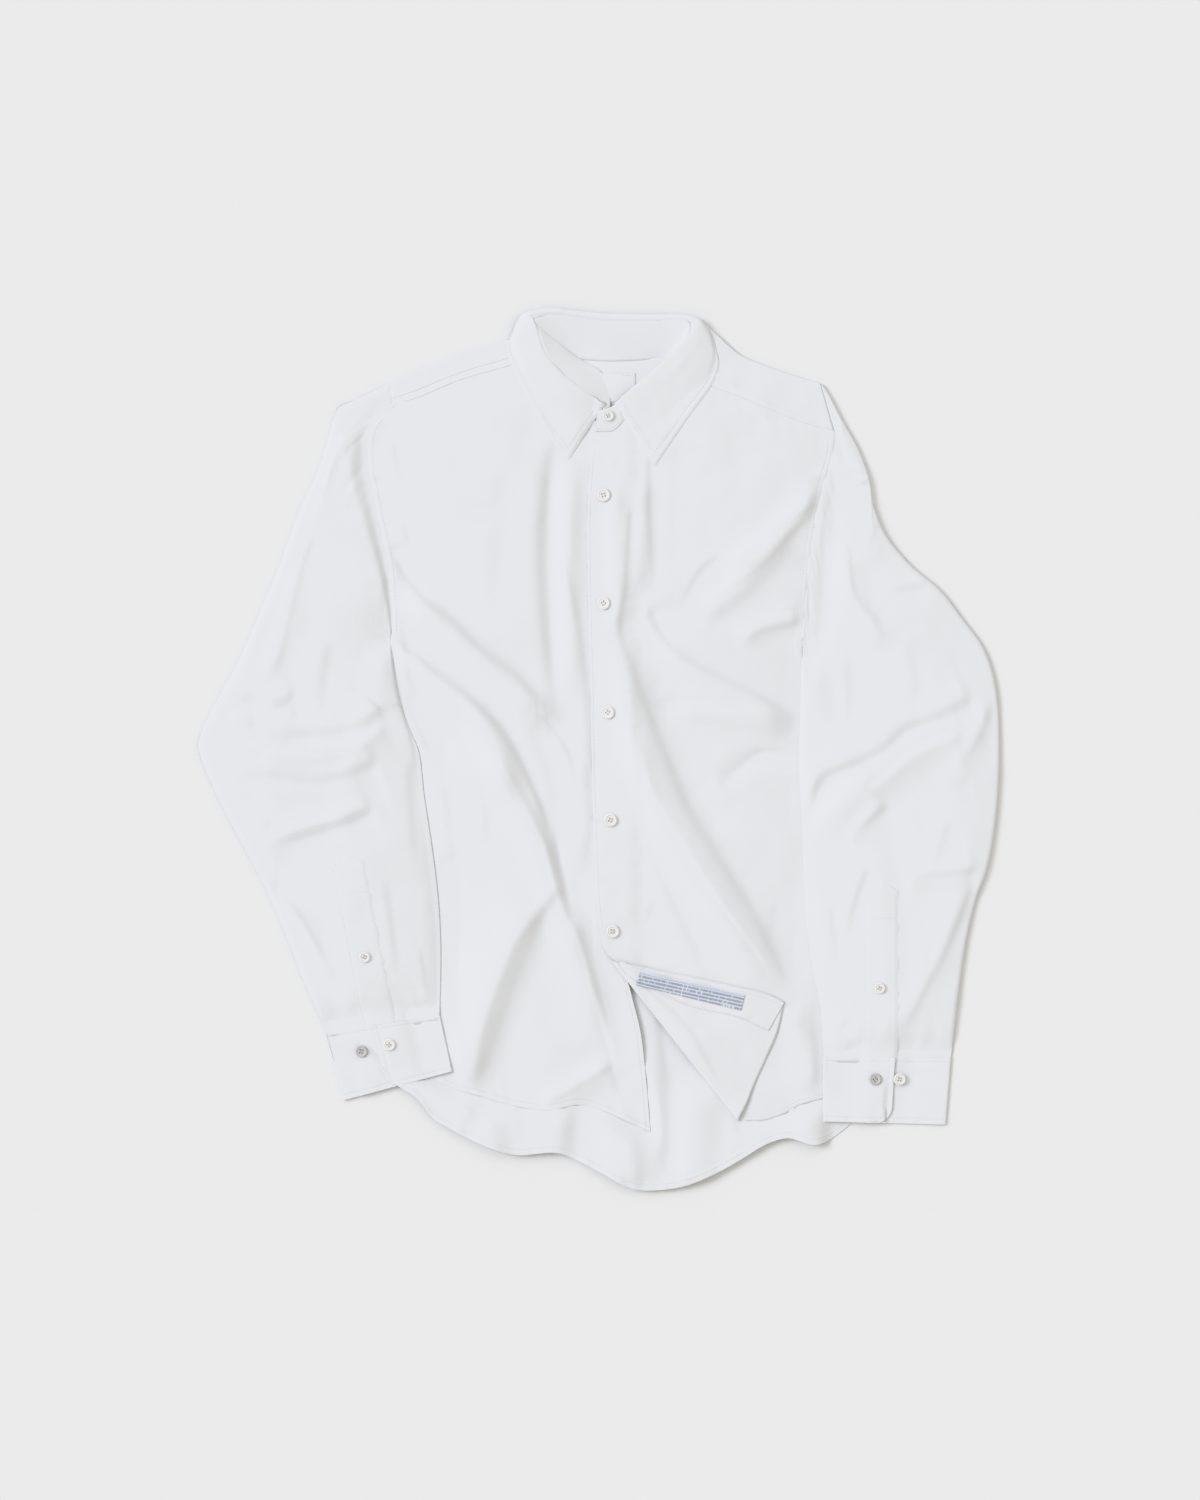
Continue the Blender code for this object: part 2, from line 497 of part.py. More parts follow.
# ---------------------------------------------------------------------------------------
# The model: objects, their finishes, and resting one piece on others
# ---------------------------------------------------------------------------------------
class Shirt:
    """The part's collection, with a search tree of each finished wall in millimetres."""

    def __init__(self):
        for old in list(bpy.data.objects):
            bpy.data.objects.remove(old, do_unlink=True)
        self.collection = bpy.data.collections.new("shirt")
        bpy.context.scene.collection.children.link(self.collection)
        self.root = bpy.data.objects.new("shirt_origin", None)
        self.collection.objects.link(self.root)
        self.trees = {}

    def add(self, name, mesh, finish):
        """Link a mesh in metres as one named piece with its own material."""
        colour, roughness = finish
        material = bpy.data.materials.new(name + "_finish")
        material.use_nodes = True
        shader = material.node_tree.nodes["Principled BSDF"]
        shader.inputs["Base Color"].default_value = colour
        shader.inputs["Roughness"].default_value = roughness
        shader.inputs["Metallic"].default_value = 0.0
        piece = bpy.data.objects.new(name, mesh)
        piece.data.materials.append(material)
        piece.parent = self.root
        self.collection.objects.link(piece)
        return piece

    def add_wall(self, name, points, quads, thickness, finish=WHITE_CLOTH, steps=None):
        """Build a wall, keep its tree and link it as a smooth-shaded piece."""
        vertices, faces = wall(points, quads, thickness, steps)
        faces = triangles_of(vertices, faces)
        self.trees[name] = BVHTree.FromPolygons([Vector(point) for point in vertices], faces)
        mesh = bpy.data.meshes.new(name)
        mesh.from_pydata([tuple(point) for point in vertices * MM], [], faces)
        mesh.shade_smooth()
        mesh.set_sharp_from_angle(angle=math.radians(50))
        return self.add(name, mesh, finish)

    def top_at(self, x, y, names):
        """Highest point of the named pieces under (x, y), or 0 on the bare surface."""
        level = 0.0
        for name in names:
            hit = self.trees[name].ray_cast(Vector((x, y, 300.0)), Vector((0, 0, -1)))[0]
            if hit is not None:
                level = max(level, hit.z)
        return level

    def top_near(self, xy, names, reach):
        """Highest point of the named pieces within `reach` of each XY point."""
        turns = [k * math.pi / 4 for k in range(8)]
        around = [(0.0, 0.0)] + [(reach * math.cos(t), reach * math.sin(t)) for t in turns]
        levels = [max(self.top_at(x + dx, y + dy, names) for dx, dy in around)
                  for x, y in xy.reshape(-1, 2)]
        return np.array(levels).reshape(xy.shape[:-1])


def raised(xy, height):
    """Stack XY points and their heights into a list of XYZ points."""
    return np.concatenate([xy, height[..., None]], axis=-1).reshape(-1, 3)


# ---------------------------------------------------------------------------------------
# Body
# ---------------------------------------------------------------------------------------
def armhole_places(side):
    """Places along an armhole of the columns that its sleeve, front, back and yoke share."""
    armhole = rounded(side["armhole"])
    yoke_end = np.argmin(np.linalg.norm(armhole - np.array(side["yoke_end"]), axis=1))
    start = length_of(armhole[:yoke_end + 1]) / length_of(armhole)
    even = np.linspace(start, ARMHOLE_LAST, ARMHOLE_ROWS)
    return np.concatenate([ARMHOLE_TOP, even, ARMHOLE_FOOT])


def lower_columns(count):
    """Which of the shared columns the sleeve's lower wall and the back go through."""
    rounded_ends = len(ARMHOLE_TOP)
    return (list(range(rounded_ends)) + list(range(rounded_ends + 1, count - rounded_ends - 1, 2))
            + list(range(count - rounded_ends, count)))


def armhole_back(side):
    """The armhole's line as the back and yoke follow it, with a point where their seam ends."""
    places = armhole_places(side)
    line = at(rounded(side["armhole"]), places[lower_columns(len(places))])
    seam_x = np.interp(-YOKE_SEAM_Y, -line[:, 1], line[:, 0])
    above = line[line[:, 1] > YOKE_SEAM_Y]
    under = line[line[:, 1] < YOKE_SEAM_Y]
    return above, np.array([seam_x, YOKE_SEAM_Y]), under


def filled(line, rows):
    """A line's points, with its longest stretches halved until there are enough of them."""
    while len(line) < rows:
        longest = np.argmax(np.linalg.norm(np.diff(line, axis=0), axis=1))
        line = np.insert(line, longest + 1, line[longest:longest + 2].mean(axis=0), axis=0)
    return line


def add_back(shirt):
    """Back from the yoke seam to the tail: flat on the surface, rippled only at its free hem."""
    sides = []
    for side in (RIGHT, LEFT):
        seam_end, armhole = armhole_back(side)[1:]
        seam = at(rounded(side["seam"]), np.linspace(0, 1, BACK_SIDE_ROWS))[1:]
        outline = np.vstack([seam_end - [0, SEAM_GAP], armhole, seam])
        sides.append(filled(outline, BACK_ROWS))
    down, over = np.linspace(0, 1, BACK_ROWS), np.linspace(0, 1, BACK_COLUMNS)
    top = at(np.array([sides[0][0], sides[1][0]]), over)
    xy = patch(top, at(rounded(TAIL_HEM), over), sides[0], sides[1], down, over)
    ripple = np.maximum(folds(xy, TAIL_FOLDS), 0.0)
    shirt.add_wall("back", raised(xy, BACK_LEVEL + ripple), grid_faces(*ripple.shape), CLOTH)


def add_yoke(shirt):
    """Yoke: flat under the shoulders, folded over them to the front seams, cut out at the neck."""
    ends = np.linspace(YOKE_START, 1, SHOULDER_COLUMNS)
    neck = at(rounded(BACK_NECK), np.linspace(0, 1, NECK_COLUMNS + 2))[1:-1]
    fold_line = np.vstack([at(rounded(RIGHT_SHOULDER), ends), neck,
                           at(rounded(LEFT_SHOULDER), 1 - ends)[::-1]])
    seam = np.vstack([at(rounded(RIGHT_YOKE_SEAM), ends), neck,
                      at(rounded(LEFT_YOKE_SEAM), 1 - ends[::-1])])
    columns = len(fold_line)
    shoulder = np.ones(columns, bool)
    shoulder[SHOULDER_COLUMNS:-SHOULDER_COLUMNS] = False
    to_seam = seam - fold_line
    to_seam /= np.maximum(np.linalg.norm(to_seam, axis=1), 1e-9)[:, None]
    radius = np.where(shoulder, (front_height(fold_line) - BACK_LEVEL) / 2, 0.0)
    hinge = fold_line + to_seam * radius[:, None]

    sides = []
    for side, corner in ((RIGHT, hinge[0]), (LEFT, hinge[-1])):
        armhole, seam_end = armhole_back(side)[:2]
        armhole = armhole[armhole[:, 1] < corner[1] - 1.0]
        sides.append(filled(np.vstack([seam_end, armhole[::-1], corner]), YOKE_ROWS))
    down, over = np.linspace(0, 1, YOKE_ROWS), np.linspace(0, 1, columns)
    foot = at(np.array([sides[0][0], sides[1][0]]), over)
    flat = patch(foot, hinge, sides[0], sides[1], down, over)
    rows = [raised(line, np.full(columns, BACK_LEVEL)) for line in flat]
    for turn in (-45, 0, 45, 90):
        lean, rise = math.cos(math.radians(turn)), math.sin(math.radians(turn))
        rows.append(raised(hinge - to_seam * (radius * lean)[:, None],
                           BACK_LEVEL + radius * (1 + rise)))
    for part in (0.5, 1.0):
        xy = hinge + (seam - to_seam * SEAM_GAP - hinge) * part
        rows.append(raised(xy, front_height(xy)))
    points = np.vstack(rows)
    quads = [quad[::-1] for quad in grid_faces(len(rows), columns)
             if quad[0] // columns < YOKE_ROWS - 1
             or (shoulder[quad[0] % columns] and shoulder[quad[3] % columns])]
    shirt.add_wall("yoke", points, quads, CLOTH, steps=normals_of(points, quads))


def front_side(side):
    """Points down a front's armhole, which are its sleeve's too, and down its side."""
    armhole = at(rounded(side["armhole"]), armhole_places(side)[len(ARMHOLE_TOP):])
    return np.vstack([armhole, at(rounded(side["seam"]), np.linspace(0, 1, SIDE_ROWS))[1:]])


def add_right_front(shirt):
    """Button front: it lies under the other one at the middle, and its hem hangs free."""
    side = front_side(RIGHT)
    rows = len(side)
    seam = at(rounded(RIGHT_YOKE_SEAM), np.linspace(0, 1, SHOULDER_COLUMNS))
    neck = at(rounded(RIGHT_NECK), np.linspace(0, 1, FRONT_NECK_COLUMNS))
    top = np.vstack([seam, neck[1:]])
    down, over = np.linspace(0, 1, rows), np.linspace(0, 1, len(top))
    xy = patch(top, at(rounded(RIGHT_HEM), over), side, at(rounded(RIGHT_FRONT_EDGE), down),
               down, over)
    shirt.add_wall("front_right", raised(xy, front_height(xy)), grid_faces(rows, len(top)), CLOTH)


def sheet_height(xy):
    """Middle of the left front's wall: the common height, lifted where it overlaps."""
    return front_height(xy) + overlap_lift(xy)


def add_left_front(shirt):
    """Buttonhole front: one sheet whose lower corner is rolled over a diagonal fold.

    Beyond the fold a point's distance from it is laid round an arc first, and then back over
    the sheet, so the corner keeps its shape.
    """
    foot, head = np.array(FOLD_FOOT), np.array(FOLD_TOP)
    side = front_side(LEFT)
    neck = at(rounded(LEFT_NECK), np.linspace(0, 1, FRONT_NECK_COLUMNS))
    seam = at(rounded(LEFT_YOKE_SEAM), np.linspace(0, 1, SHOULDER_COLUMNS))
    top = np.vstack([neck, seam[1:]])
    rows, columns = len(side), len(top)
    edge = np.vstack([at(rounded(LEFT_FRONT_EDGE), np.linspace(0, 1, FOLD_ROW + 1)),
                      at(np.array([head, foot]), np.linspace(0, 1, rows - FOLD_ROW))[1:]])
    down, over = np.linspace(0, 1, rows), np.linspace(0, 1, columns)
    xy = patch(top, at(rounded(LEFT_HEM), over), edge, side, down, over)
    front = np.concatenate([xy, sheet_height(xy)[..., None]], axis=-1)

    inward = np.array([head[1] - foot[1], foot[0] - head[0]]) / np.linalg.norm(foot - head)
    roll = math.pi * FOLD_RADIUS

    def allow_roll(points):
        line = rounded(points)
        off = (line - head) @ inward
        return line + inward * (roll * smooth_step(off / FOLD_OPENING))[:, None]

    turned_edge = allow_roll(TURNED_EDGE)
    turned_hem = allow_roll(TURNED_HEM)
    spread = np.linspace(0, 1, rows - FOLD_ROW)
    reach = np.maximum((at(turned_edge, spread) - head) @ inward, 1e-6)
    round_part = np.minimum(roll / reach, 0.6)
    flat_columns = FLAP_COLUMNS - ROLL_COLUMNS
    over = np.array([list(np.linspace(0, part, ROLL_COLUMNS + 1))
                     + list(np.linspace(part, 1, flat_columns + 1)[1:]) for part in round_part])
    flap = patch(np.broadcast_to(head, over.shape + (2,)), at(turned_hem, over),
                 edge[FOLD_ROW:], at(turned_edge, spread), spread, over)
    off = np.maximum((flap - head) @ inward, 0.0)
    angle = np.minimum(off / FOLD_RADIUS, math.pi)
    moved = np.where(off < roll, -FOLD_RADIUS * np.sin(angle), off - roll)
    flap = flap + inward * (moved - off)[..., None]
    rise = FOLD_RADIUS * (1 - np.cos(angle)) + FLAP_RISE * smooth_step((off - roll) / FLAP_RISE_RUN)
    flap = np.concatenate([flap, (sheet_height(flap) + rise)[..., None]], axis=-1)
    flap[:, 0] = front[FOLD_ROW:, 0]
    flap[0] = front[FOLD_ROW, 0]

    grid = np.full((rows, FLAP_COLUMNS + columns, 3), np.nan)
    grid[:, FLAP_COLUMNS:] = front
    grid[FOLD_ROW:, :FLAP_COLUMNS] = flap[:, :0:-1]
    width = FLAP_COLUMNS + columns
    quads = [quad for quad in grid_faces(rows, width)
             if quad[0] // width >= FOLD_ROW or quad[0] % width >= FLAP_COLUMNS]
    points = grid.reshape(-1, 3)
    normals = normals_of(np.nan_to_num(points), quads)
    steps = upright(normals)
    row, column = np.divmod(np.arange(rows * width), width)
    rolled = (row >= FOLD_ROW) & (column < FLAP_COLUMNS + 3)
    steps[rolled] = normals[rolled]
    shirt.add_wall("front_left", points, quads, CLOTH, steps=steps)


# ---------------------------------------------------------------------------------------
# Sleeves, cuffs and plackets
# ---------------------------------------------------------------------------------------
def add_sleeve(shirt, side):
    """Sleeve: a flat tube of rings from the armhole to the cuff, climbing on to the body's edge."""
    across = armhole_places(side)
    armhole = pushed(at(rounded(side["armhole"]), across), side["away"] * SLEEVE_GAP)
    cuff = side["cuff"]
    cuff_seam = np.array([cuff["seam_outer"], cuff["seam_inner"]], float)
    down = np.linspace(0, 1, SLEEVE_RINGS)
    outer, inner = rounded(side["outer"]), rounded(side["inner"])
    outer[0], inner[0] = armhole[0], armhole[-1]
    xy = patch(armhole, at(cuff_seam, across), at(outer, down), at(inner, down), down, across)
    down, over = np.meshgrid(down, across, indexing="ij")
    outer_line, inner_line = xy[:, :1], xy[:, -1:]
    width = np.linalg.norm(inner_line - outer_line, axis=-1, keepdims=True)[..., 0]
    from_edge = np.minimum(over, 1 - over) * width / EDGE_ROUND
    rounding = np.sqrt(1 - (1 - np.clip(from_edge, 0, 1)) ** 2)
    length = np.linalg.norm(rounded(side["inner"])[0] - cuff_seam[1])
    from_ends = np.minimum(down, 1 - down) * length
    fade = smooth_step(from_ends / SEAM_FADE)
    middle = body_under(xy, side) + CLOTH / 2 + SLEEVE_DEPTH / 2
    puff = SLEEVE_PUFF * (1 - (2 * over - 1) ** 2) + folds(xy, side["folds"])
    upper = middle + SLEEVE_DEPTH / 2 * rounding + np.maximum(puff * fade, 0.0) * rounding
    lower = middle - SLEEVE_DEPTH / 2 * rounding
    under = lower_columns(len(across))[1:-1][::-1]
    ring_xy = np.concatenate([xy, xy[:, under]], axis=1)
    ring_z = np.concatenate([upper, lower[:, under]], axis=1)
    rings, count = ring_z.shape
    points = raised(ring_xy, ring_z)
    quads = grid_faces(rings, count, wrap=True)
    if side["away"] > 0:
        quads = [quad[::-1] for quad in quads]
    normals = normals_of(points, quads)
    heading = np.gradient(xy, axis=1)
    heading = np.concatenate([heading, heading[:, under]], axis=1).reshape(-1, 2)
    heading /= np.linalg.norm(heading, axis=1)[:, None]
    in_plane = (normals[:, :2] * heading).sum(axis=1)
    steps = np.column_stack([heading * in_plane[:, None], normals[:, 2]])
    steps /= np.linalg.norm(steps, axis=1)[:, None]
    shirt.add_wall("sleeve_" + side["name"], points, quads, CLOTH, steps=steps)


def add_cuff(shirt, side):
    """Cuff: one stiff band wound once round, its top end lapping over its hidden under end."""
    cuff = side["cuff"]
    outer = np.array([cuff["seam_outer"], cuff["edge_outer"]], float)
    inner = np.array([cuff["seam_inner"], cuff["edge_inner"]], float)
    depth = np.linalg.norm(outer[1] - outer[0])
    width = np.linalg.norm(outer[0] - inner[0])
    low, middle, high = (STIFF / 2 + CUFF_LAYER * layer for layer in range(3))
    bend = CUFF_LAYER / 2
    under_count, flat_count, top_count = CUFF_COLUMNS
    xy_rows, z_rows = [], []
    for part in CUFF_ROWS:
        from_corner = max(part * depth - (depth - cuff["corner"]), 0.0) / cuff["corner"]
        pulled = cuff["corner"] / width * (1 - math.sqrt(1 - from_corner ** 2))
        inset = bend / width
        turns = np.radians([45, 90, 135])
        path = [(place, middle) for place in np.linspace(cuff["under_end"], inset, under_count)]
        path += [(inset - inset * math.sin(t), low + bend + bend * math.cos(t)) for t in turns]
        path += [(place, low) for place in np.linspace(inset, 1 - inset, flat_count)]
        path += [(1 - inset + inset * math.sin(t), low + bend - bend * math.cos(t)) for t in turns]
        end = cuff["top_end"] + pulled
        for place in np.linspace(1 - inset, end, top_count):
            lap = smooth_step((cuff["under_end"] + CUFF_LAP_CLEAR - place) / CUFF_LAP_RAMP)
            path.append((place, middle + (high - middle) * lap))
        place, level = np.array(path).T
        start = outer[0] + (outer[1] - outer[0]) * (part + (1 - part) * 1.5 * SEAM_GAP / depth)
        stop = inner[0] + (inner[1] - inner[0]) * (part + (1 - part) * 1.5 * SEAM_GAP / depth)
        xy_rows.append(start + (stop - start) * place[:, None])
        z_rows.append(level)
    xy, z = np.array(xy_rows), np.array(z_rows)
    z = z + body_under(xy, side)
    rows, columns = z.shape
    points = raised(xy, z)
    quads = grid_faces(rows, columns)
    if side["away"] < 0:
        quads = [quad[::-1] for quad in quads]
    normals = normals_of(points, quads)
    run = (inner[0] - outer[0]) / width
    in_plane = (normals[:, :2] * run).sum(axis=1)
    steps = np.column_stack([run * in_plane[:, None], normals[:, 2]])
    steps /= np.linalg.norm(steps, axis=1)[:, None]
    shirt.add_wall("cuff_" + side["name"], points, quads, STIFF, steps=steps)


def add_sleeve_placket(shirt, side):
    """Pointed strip up the sleeve from the cuff, made from the sleeve's points moved out."""
    placket = side["placket"]
    foot, head = np.array(placket["foot"], float), np.array(placket["head"], float)
    length = np.linalg.norm(head - foot)
    up = (head - foot) / length
    across = np.array([up[1], -up[0]])
    point_start = 1 - placket["point"] / length
    rows = np.append(np.linspace(1.0, point_start, 2), np.linspace(point_start, 0.0, 13)[1:])
    half = placket["width"] / 2 * np.minimum((1 - rows) / (1 - point_start), 1.0)
    columns = np.linspace(-1, 1, 4)
    xy = (foot + up * (rows * length)[:, None])[:, None] + across * (half[:, None, None]
                                                                     * columns[None, :, None])
    over = shirt.top_near(xy, ["sleeve_" + side["name"]], FEEL_PLACKET)
    points = raised(xy, over + LAYER_GAP + TRIM / 2)
    shirt.add_wall("sleeve_placket_" + side["name"], points, grid_faces(*xy.shape[:2]), TRIM)


# ---------------------------------------------------------------------------------------
# Collar
# ---------------------------------------------------------------------------------------
def section_curves(table):
    """Each X, Y, Z triple of a section table as a smooth line round the neck, evenly sampled."""
    values = np.array(table, float).reshape(len(table), -1, 3)
    wanted = np.linspace(0, 1, COLLAR_COLUMNS)
    lines = []
    for triple in range(values.shape[1]):
        line = rounded(values[:, triple])
        places = np.linspace(0, 1, len(line))
        lines.append(np.column_stack([np.interp(wanted, places, axis) for axis in line.T]))
    return lines


def add_collar(shirt):
    """Stand: a band round the neck. Leaf: from a rounded roll over the stand down to its edge."""
    foot, top = section_curves(STAND_SECTIONS)
    rows = np.linspace(0, 1, STAND_ROWS)[:, None, None]
    points = (top * (1 - rows) + foot * rows).reshape(-1, 3)
    quads = grid_faces(STAND_ROWS, COLLAR_COLUMNS)
    shirt.add_wall("collar_stand", points, quads, STIFF, steps=normals_of(points, quads))

    roll, bulge, edge = section_curves(LEAF_SECTIONS)
    outward = bulge[:, :2] - roll[:, :2]
    outward /= np.linalg.norm(outward, axis=1)[:, None]
    lip = np.column_stack([roll[:, :2] - outward * LEAF_LIP, roll[:, 2] - LEAF_LIP / 2])
    sections = [rounded(section)[::LEAF_STEP] for section in zip(lip, roll, bulge, edge)]
    grid = np.array(sections).transpose(1, 0, 2)
    under = shirt.top_near(grid[..., :2], ["front_left", "front_right", "yoke"], FEEL_LEAF)
    seated = np.maximum(grid[..., 2], under + LAYER_GAP + STIFF / 2)
    grid[..., 2] = np.where(grid[..., 2] > LEAF_OVER_BODY, seated, grid[..., 2])
    points = grid.reshape(-1, 3)
    quads = [quad[::-1] for quad in grid_faces(*grid.shape[:2])]
    shirt.add_wall("collar_leaf", points, quads, STIFF, steps=normals_of(points, quads))


# ---------------------------------------------------------------------------------------
# Facing, labels and buttons
# ---------------------------------------------------------------------------------------
def add_strip(shirt, name, line_a, line_b, grid, carriers, finish):
    """A thin strip between two lines, made from the points of what it lies on, moved out."""
    rows, columns = grid
    over = np.linspace(0, 1, columns)
    down = np.linspace(0, 1, rows)[:, None, None]
    xy = (1 - down) * at(line_a, over) + down * at(line_b, over)
    points = raised(xy, shirt.top_near(xy, carriers, FEEL_STRIP) + LAYER_GAP + TRIM / 2)
    shirt.add_wall(name, points, grid_faces(*grid), TRIM, finish)


def button_mesh(name, diameter):
    """A turned button with a raised rim round its dished middle."""
    radius, thick = diameter / 2, BUTTON_THICK
    profile = [(0.0, thick * BUTTON_DISH), (radius * 0.62, thick * BUTTON_DISH),
               (radius * 0.8, thick), (radius, thick * 0.62), (radius * 0.9, 0.0), (0.0, 0.0)]
    mesh = bpy.data.meshes.new(name)
    mesh.from_pydata([(reach * MM, 0.0, level * MM) for reach, level in profile],
                     [(k, k + 1) for k in range(len(profile) - 1)], [])
    return mesh


def add_button(shirt, name, place, diameter, carriers, finish=PEARL):
    """Seat a button on the cloth under it, square to that cloth, turned from its profile."""
    centre = np.array(place, float)
    reach = diameter / 2
    level = shirt.top_at(*centre, carriers)
    slope_x = (shirt.top_at(centre[0] + reach, centre[1], carriers)
               - shirt.top_at(centre[0] - reach, centre[1], carriers)) / (2 * reach)
    slope_y = (shirt.top_at(centre[0], centre[1] + reach, carriers)
               - shirt.top_at(centre[0], centre[1] - reach, carriers)) / (2 * reach)
    lift = 0.0
    for turn in np.linspace(0, 2 * math.pi, BUTTON_SAMPLES, endpoint=False):
        for span in (0.35, 0.7, 0.9, 1.0):
            step = span * reach * np.array([math.cos(turn), math.sin(turn)])
            plane = level + slope_x * step[0] + slope_y * step[1]
            lift = max(lift, shirt.top_at(*(centre + step), carriers) - plane)
    piece = shirt.add(name, button_mesh(name, diameter), finish)
    piece.location = Vector((centre[0], centre[1], level + lift + SEAM_GAP)) * MM
    piece.rotation_mode = "QUATERNION"
    piece.rotation_quaternion = Vector((-slope_x, -slope_y, 1.0)).to_track_quat("Z", "Y")
    turned = piece.modifiers.new("turned", "SCREW")
    turned.axis = "Z"
    turned.angle = 2 * math.pi
    turned.steps = turned.render_steps = BUTTON_SIDES
    turned.use_merge_vertices = True
    turned.merge_threshold = 0.02 * MM
    turned.use_smooth_shade = False


def add_trims(shirt):
    """Facing and care label on the turned corner, the neck label, and all buttons."""
    add_strip(shirt, "front_facing", rounded(TURNED_EDGE)[FACING_START:] + [0, -FACING_INSET],
              rounded(FACING_INNER), (4, 15), ["front_left"], WHITE_CLOTH)
    add_strip(shirt, "care_label", np.array(CARE_LABEL[:2], float),
              np.array(CARE_LABEL[:1:-1], float), (3, 12), ["front_facing", "front_left"],
              LABEL_TAPE)
    add_strip(shirt, "neck_label", np.array(NECK_LABEL[:2], float),
              np.array(NECK_LABEL[:1:-1], float), (3, 4), ["yoke"], WHITE_CLOTH)
    for number, place in enumerate(FRONT_BUTTONS, 1):
        add_button(shirt, "front_button_%d" % number, place, FRONT_BUTTON, ["front_left"])
    add_button(shirt, "collar_button", COLLAR_BUTTON_PLACE, PLACKET_BUTTON, ["collar_stand"])
    for side, cuff_places, placket_place in ((RIGHT, RIGHT_CUFF_BUTTONS, RIGHT_PLACKET_BUTTON),
                                             (LEFT, LEFT_CUFF_BUTTONS, LEFT_PLACKET_BUTTON)):
        name = side["name"]
        for number, (place, finish) in enumerate(zip(cuff_places, (PEARL, GREY_PEARL)), 1):
            add_button(shirt, "cuff_button_%s_%d" % (name, number), place, CUFF_BUTTON,
                       ["cuff_" + name], finish)
        add_button(shirt, "placket_button_" + name, placket_place, PLACKET_BUTTON,
                   ["sleeve_placket_" + name])


def main():
    """Build every piece, each after the ones that it lies on."""
    shirt = Shirt()
    add_back(shirt)
    add_yoke(shirt)
    add_right_front(shirt)
    add_left_front(shirt)
    for side in (RIGHT, LEFT):
        add_sleeve(shirt, side)
        add_cuff(shirt, side)
        add_sleeve_placket(shirt, side)
    add_collar(shirt)
    add_trims(shirt)


main()
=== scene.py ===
"""Looks of a long-sleeved button-up shirt laid flat, softly creased, one front corner turned back.

Left and right are the wearer's: the wearer's left front and sleeve lie on the +X side. +Y points
to the collar and +Z up. Shapes are worked out in millimetres, in the frame's own axes, as grids of
points: X and Y come from each panel's edges, and Z from what it lies on plus folds, seams and fine
creases. A mesh takes its points in metres.
"""

import math

import bmesh
import bpy
import numpy as np
from bpy.props import FloatProperty, PointerProperty
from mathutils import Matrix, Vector


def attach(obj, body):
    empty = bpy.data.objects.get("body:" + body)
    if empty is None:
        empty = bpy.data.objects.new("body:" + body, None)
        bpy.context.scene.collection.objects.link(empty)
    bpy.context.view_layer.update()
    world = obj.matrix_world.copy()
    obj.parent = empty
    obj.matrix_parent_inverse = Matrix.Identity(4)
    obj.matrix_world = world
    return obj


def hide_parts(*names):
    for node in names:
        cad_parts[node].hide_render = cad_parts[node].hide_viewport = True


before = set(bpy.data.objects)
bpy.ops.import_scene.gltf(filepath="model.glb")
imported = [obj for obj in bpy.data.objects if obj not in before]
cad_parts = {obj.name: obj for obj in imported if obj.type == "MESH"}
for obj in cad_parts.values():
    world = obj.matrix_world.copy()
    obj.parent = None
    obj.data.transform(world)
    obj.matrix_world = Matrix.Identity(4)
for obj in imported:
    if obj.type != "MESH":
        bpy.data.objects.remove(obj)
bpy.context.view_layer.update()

MM = 0.001

bl_info = {
    "name": "Laid-out Shirt",
    "version": (1, 0, 0),
    "blender": (4, 5, 0),
    "location": "3D View > Sidebar > Shirt",
    "description": "Builds a buttoned shirt that lies flat, piece by piece, with its stage",
    "category": "Add Mesh",
}

# ==== The pattern: edges of the panels, as the solids have them (X, Y in millimetres)
CLOTH = 1.2               # wall of a single layer in the solids
STIFF = 1.5               # and of an interlined one
BACK_LEVEL = 0.6          # middle of the back's wall there, and of the yoke's flat part here
ARMHOLE_LEVEL = 3.8       # height of the fronts' edges at the armholes
SIDE_LEVEL = 1.5          # and under the sleeves; the fronts sink no lower
FRONT_PUFF = 4.0          # how far the fronts rise between their edges
PUFF_REACH = 90.0         # and how far in from them the rise ends
PIT_RIGHT = 104.0         # Y of the underarms
PIT_LEFT = 89.0
YOKE_SEAM_Y = 262.0       # of the seam between back and yoke
OVERLAP_LIFT = 1.3        # rise of the left front over the right one
OVERLAP_RAMP = 14.0       # and the length of its slope
FOLD_TOP = (3.0, -178.0)  # ends of the line that the corner is turned back about
FOLD_FOOT = (127.0, -334.5)
FOLD_RADIUS = 1.6         # of the roll along that line
FOLD_OPENING = 18.0       # length over which the turned outline makes room for the roll
FLAP_RISE = -1.9          # change of level of the corner beyond its roll
FLAP_RISE_RUN = 40.0      # and the length that it takes
SLEEVE_DEPTH = 3.35       # of a sleeve's tube at the armhole
SLEEVE_THICK = 4.6        # and along its outer edge
SLEEVE_PUFF = 4.0         # of its upper wall, halfway across
SEAM_FADE = 14.0          # length in which its puff swells in and out at its ends
EDGE_ROUND = 4.0          # reach of the rounding at a sleeve's outer edge
INNER_ROUND = 16.0        # and at its inner one
CLIMB = 30.0              # length in which a sleeve climbs on to the body, below the underarm
CLIMB_RAMP = 26.0         # width of the slope beside the body's edge
CLIMB_CLEAR = -0.2        # gap between the two
CUFF_LAYER = 1.25         # from one layer of a cuff to the next
CUFF_LAP_CLEAR = 0.12     # where the top end starts to rise over the under end
CUFF_LAP_RAMP = 0.14      # and how fast, both as shares of the cuff's width

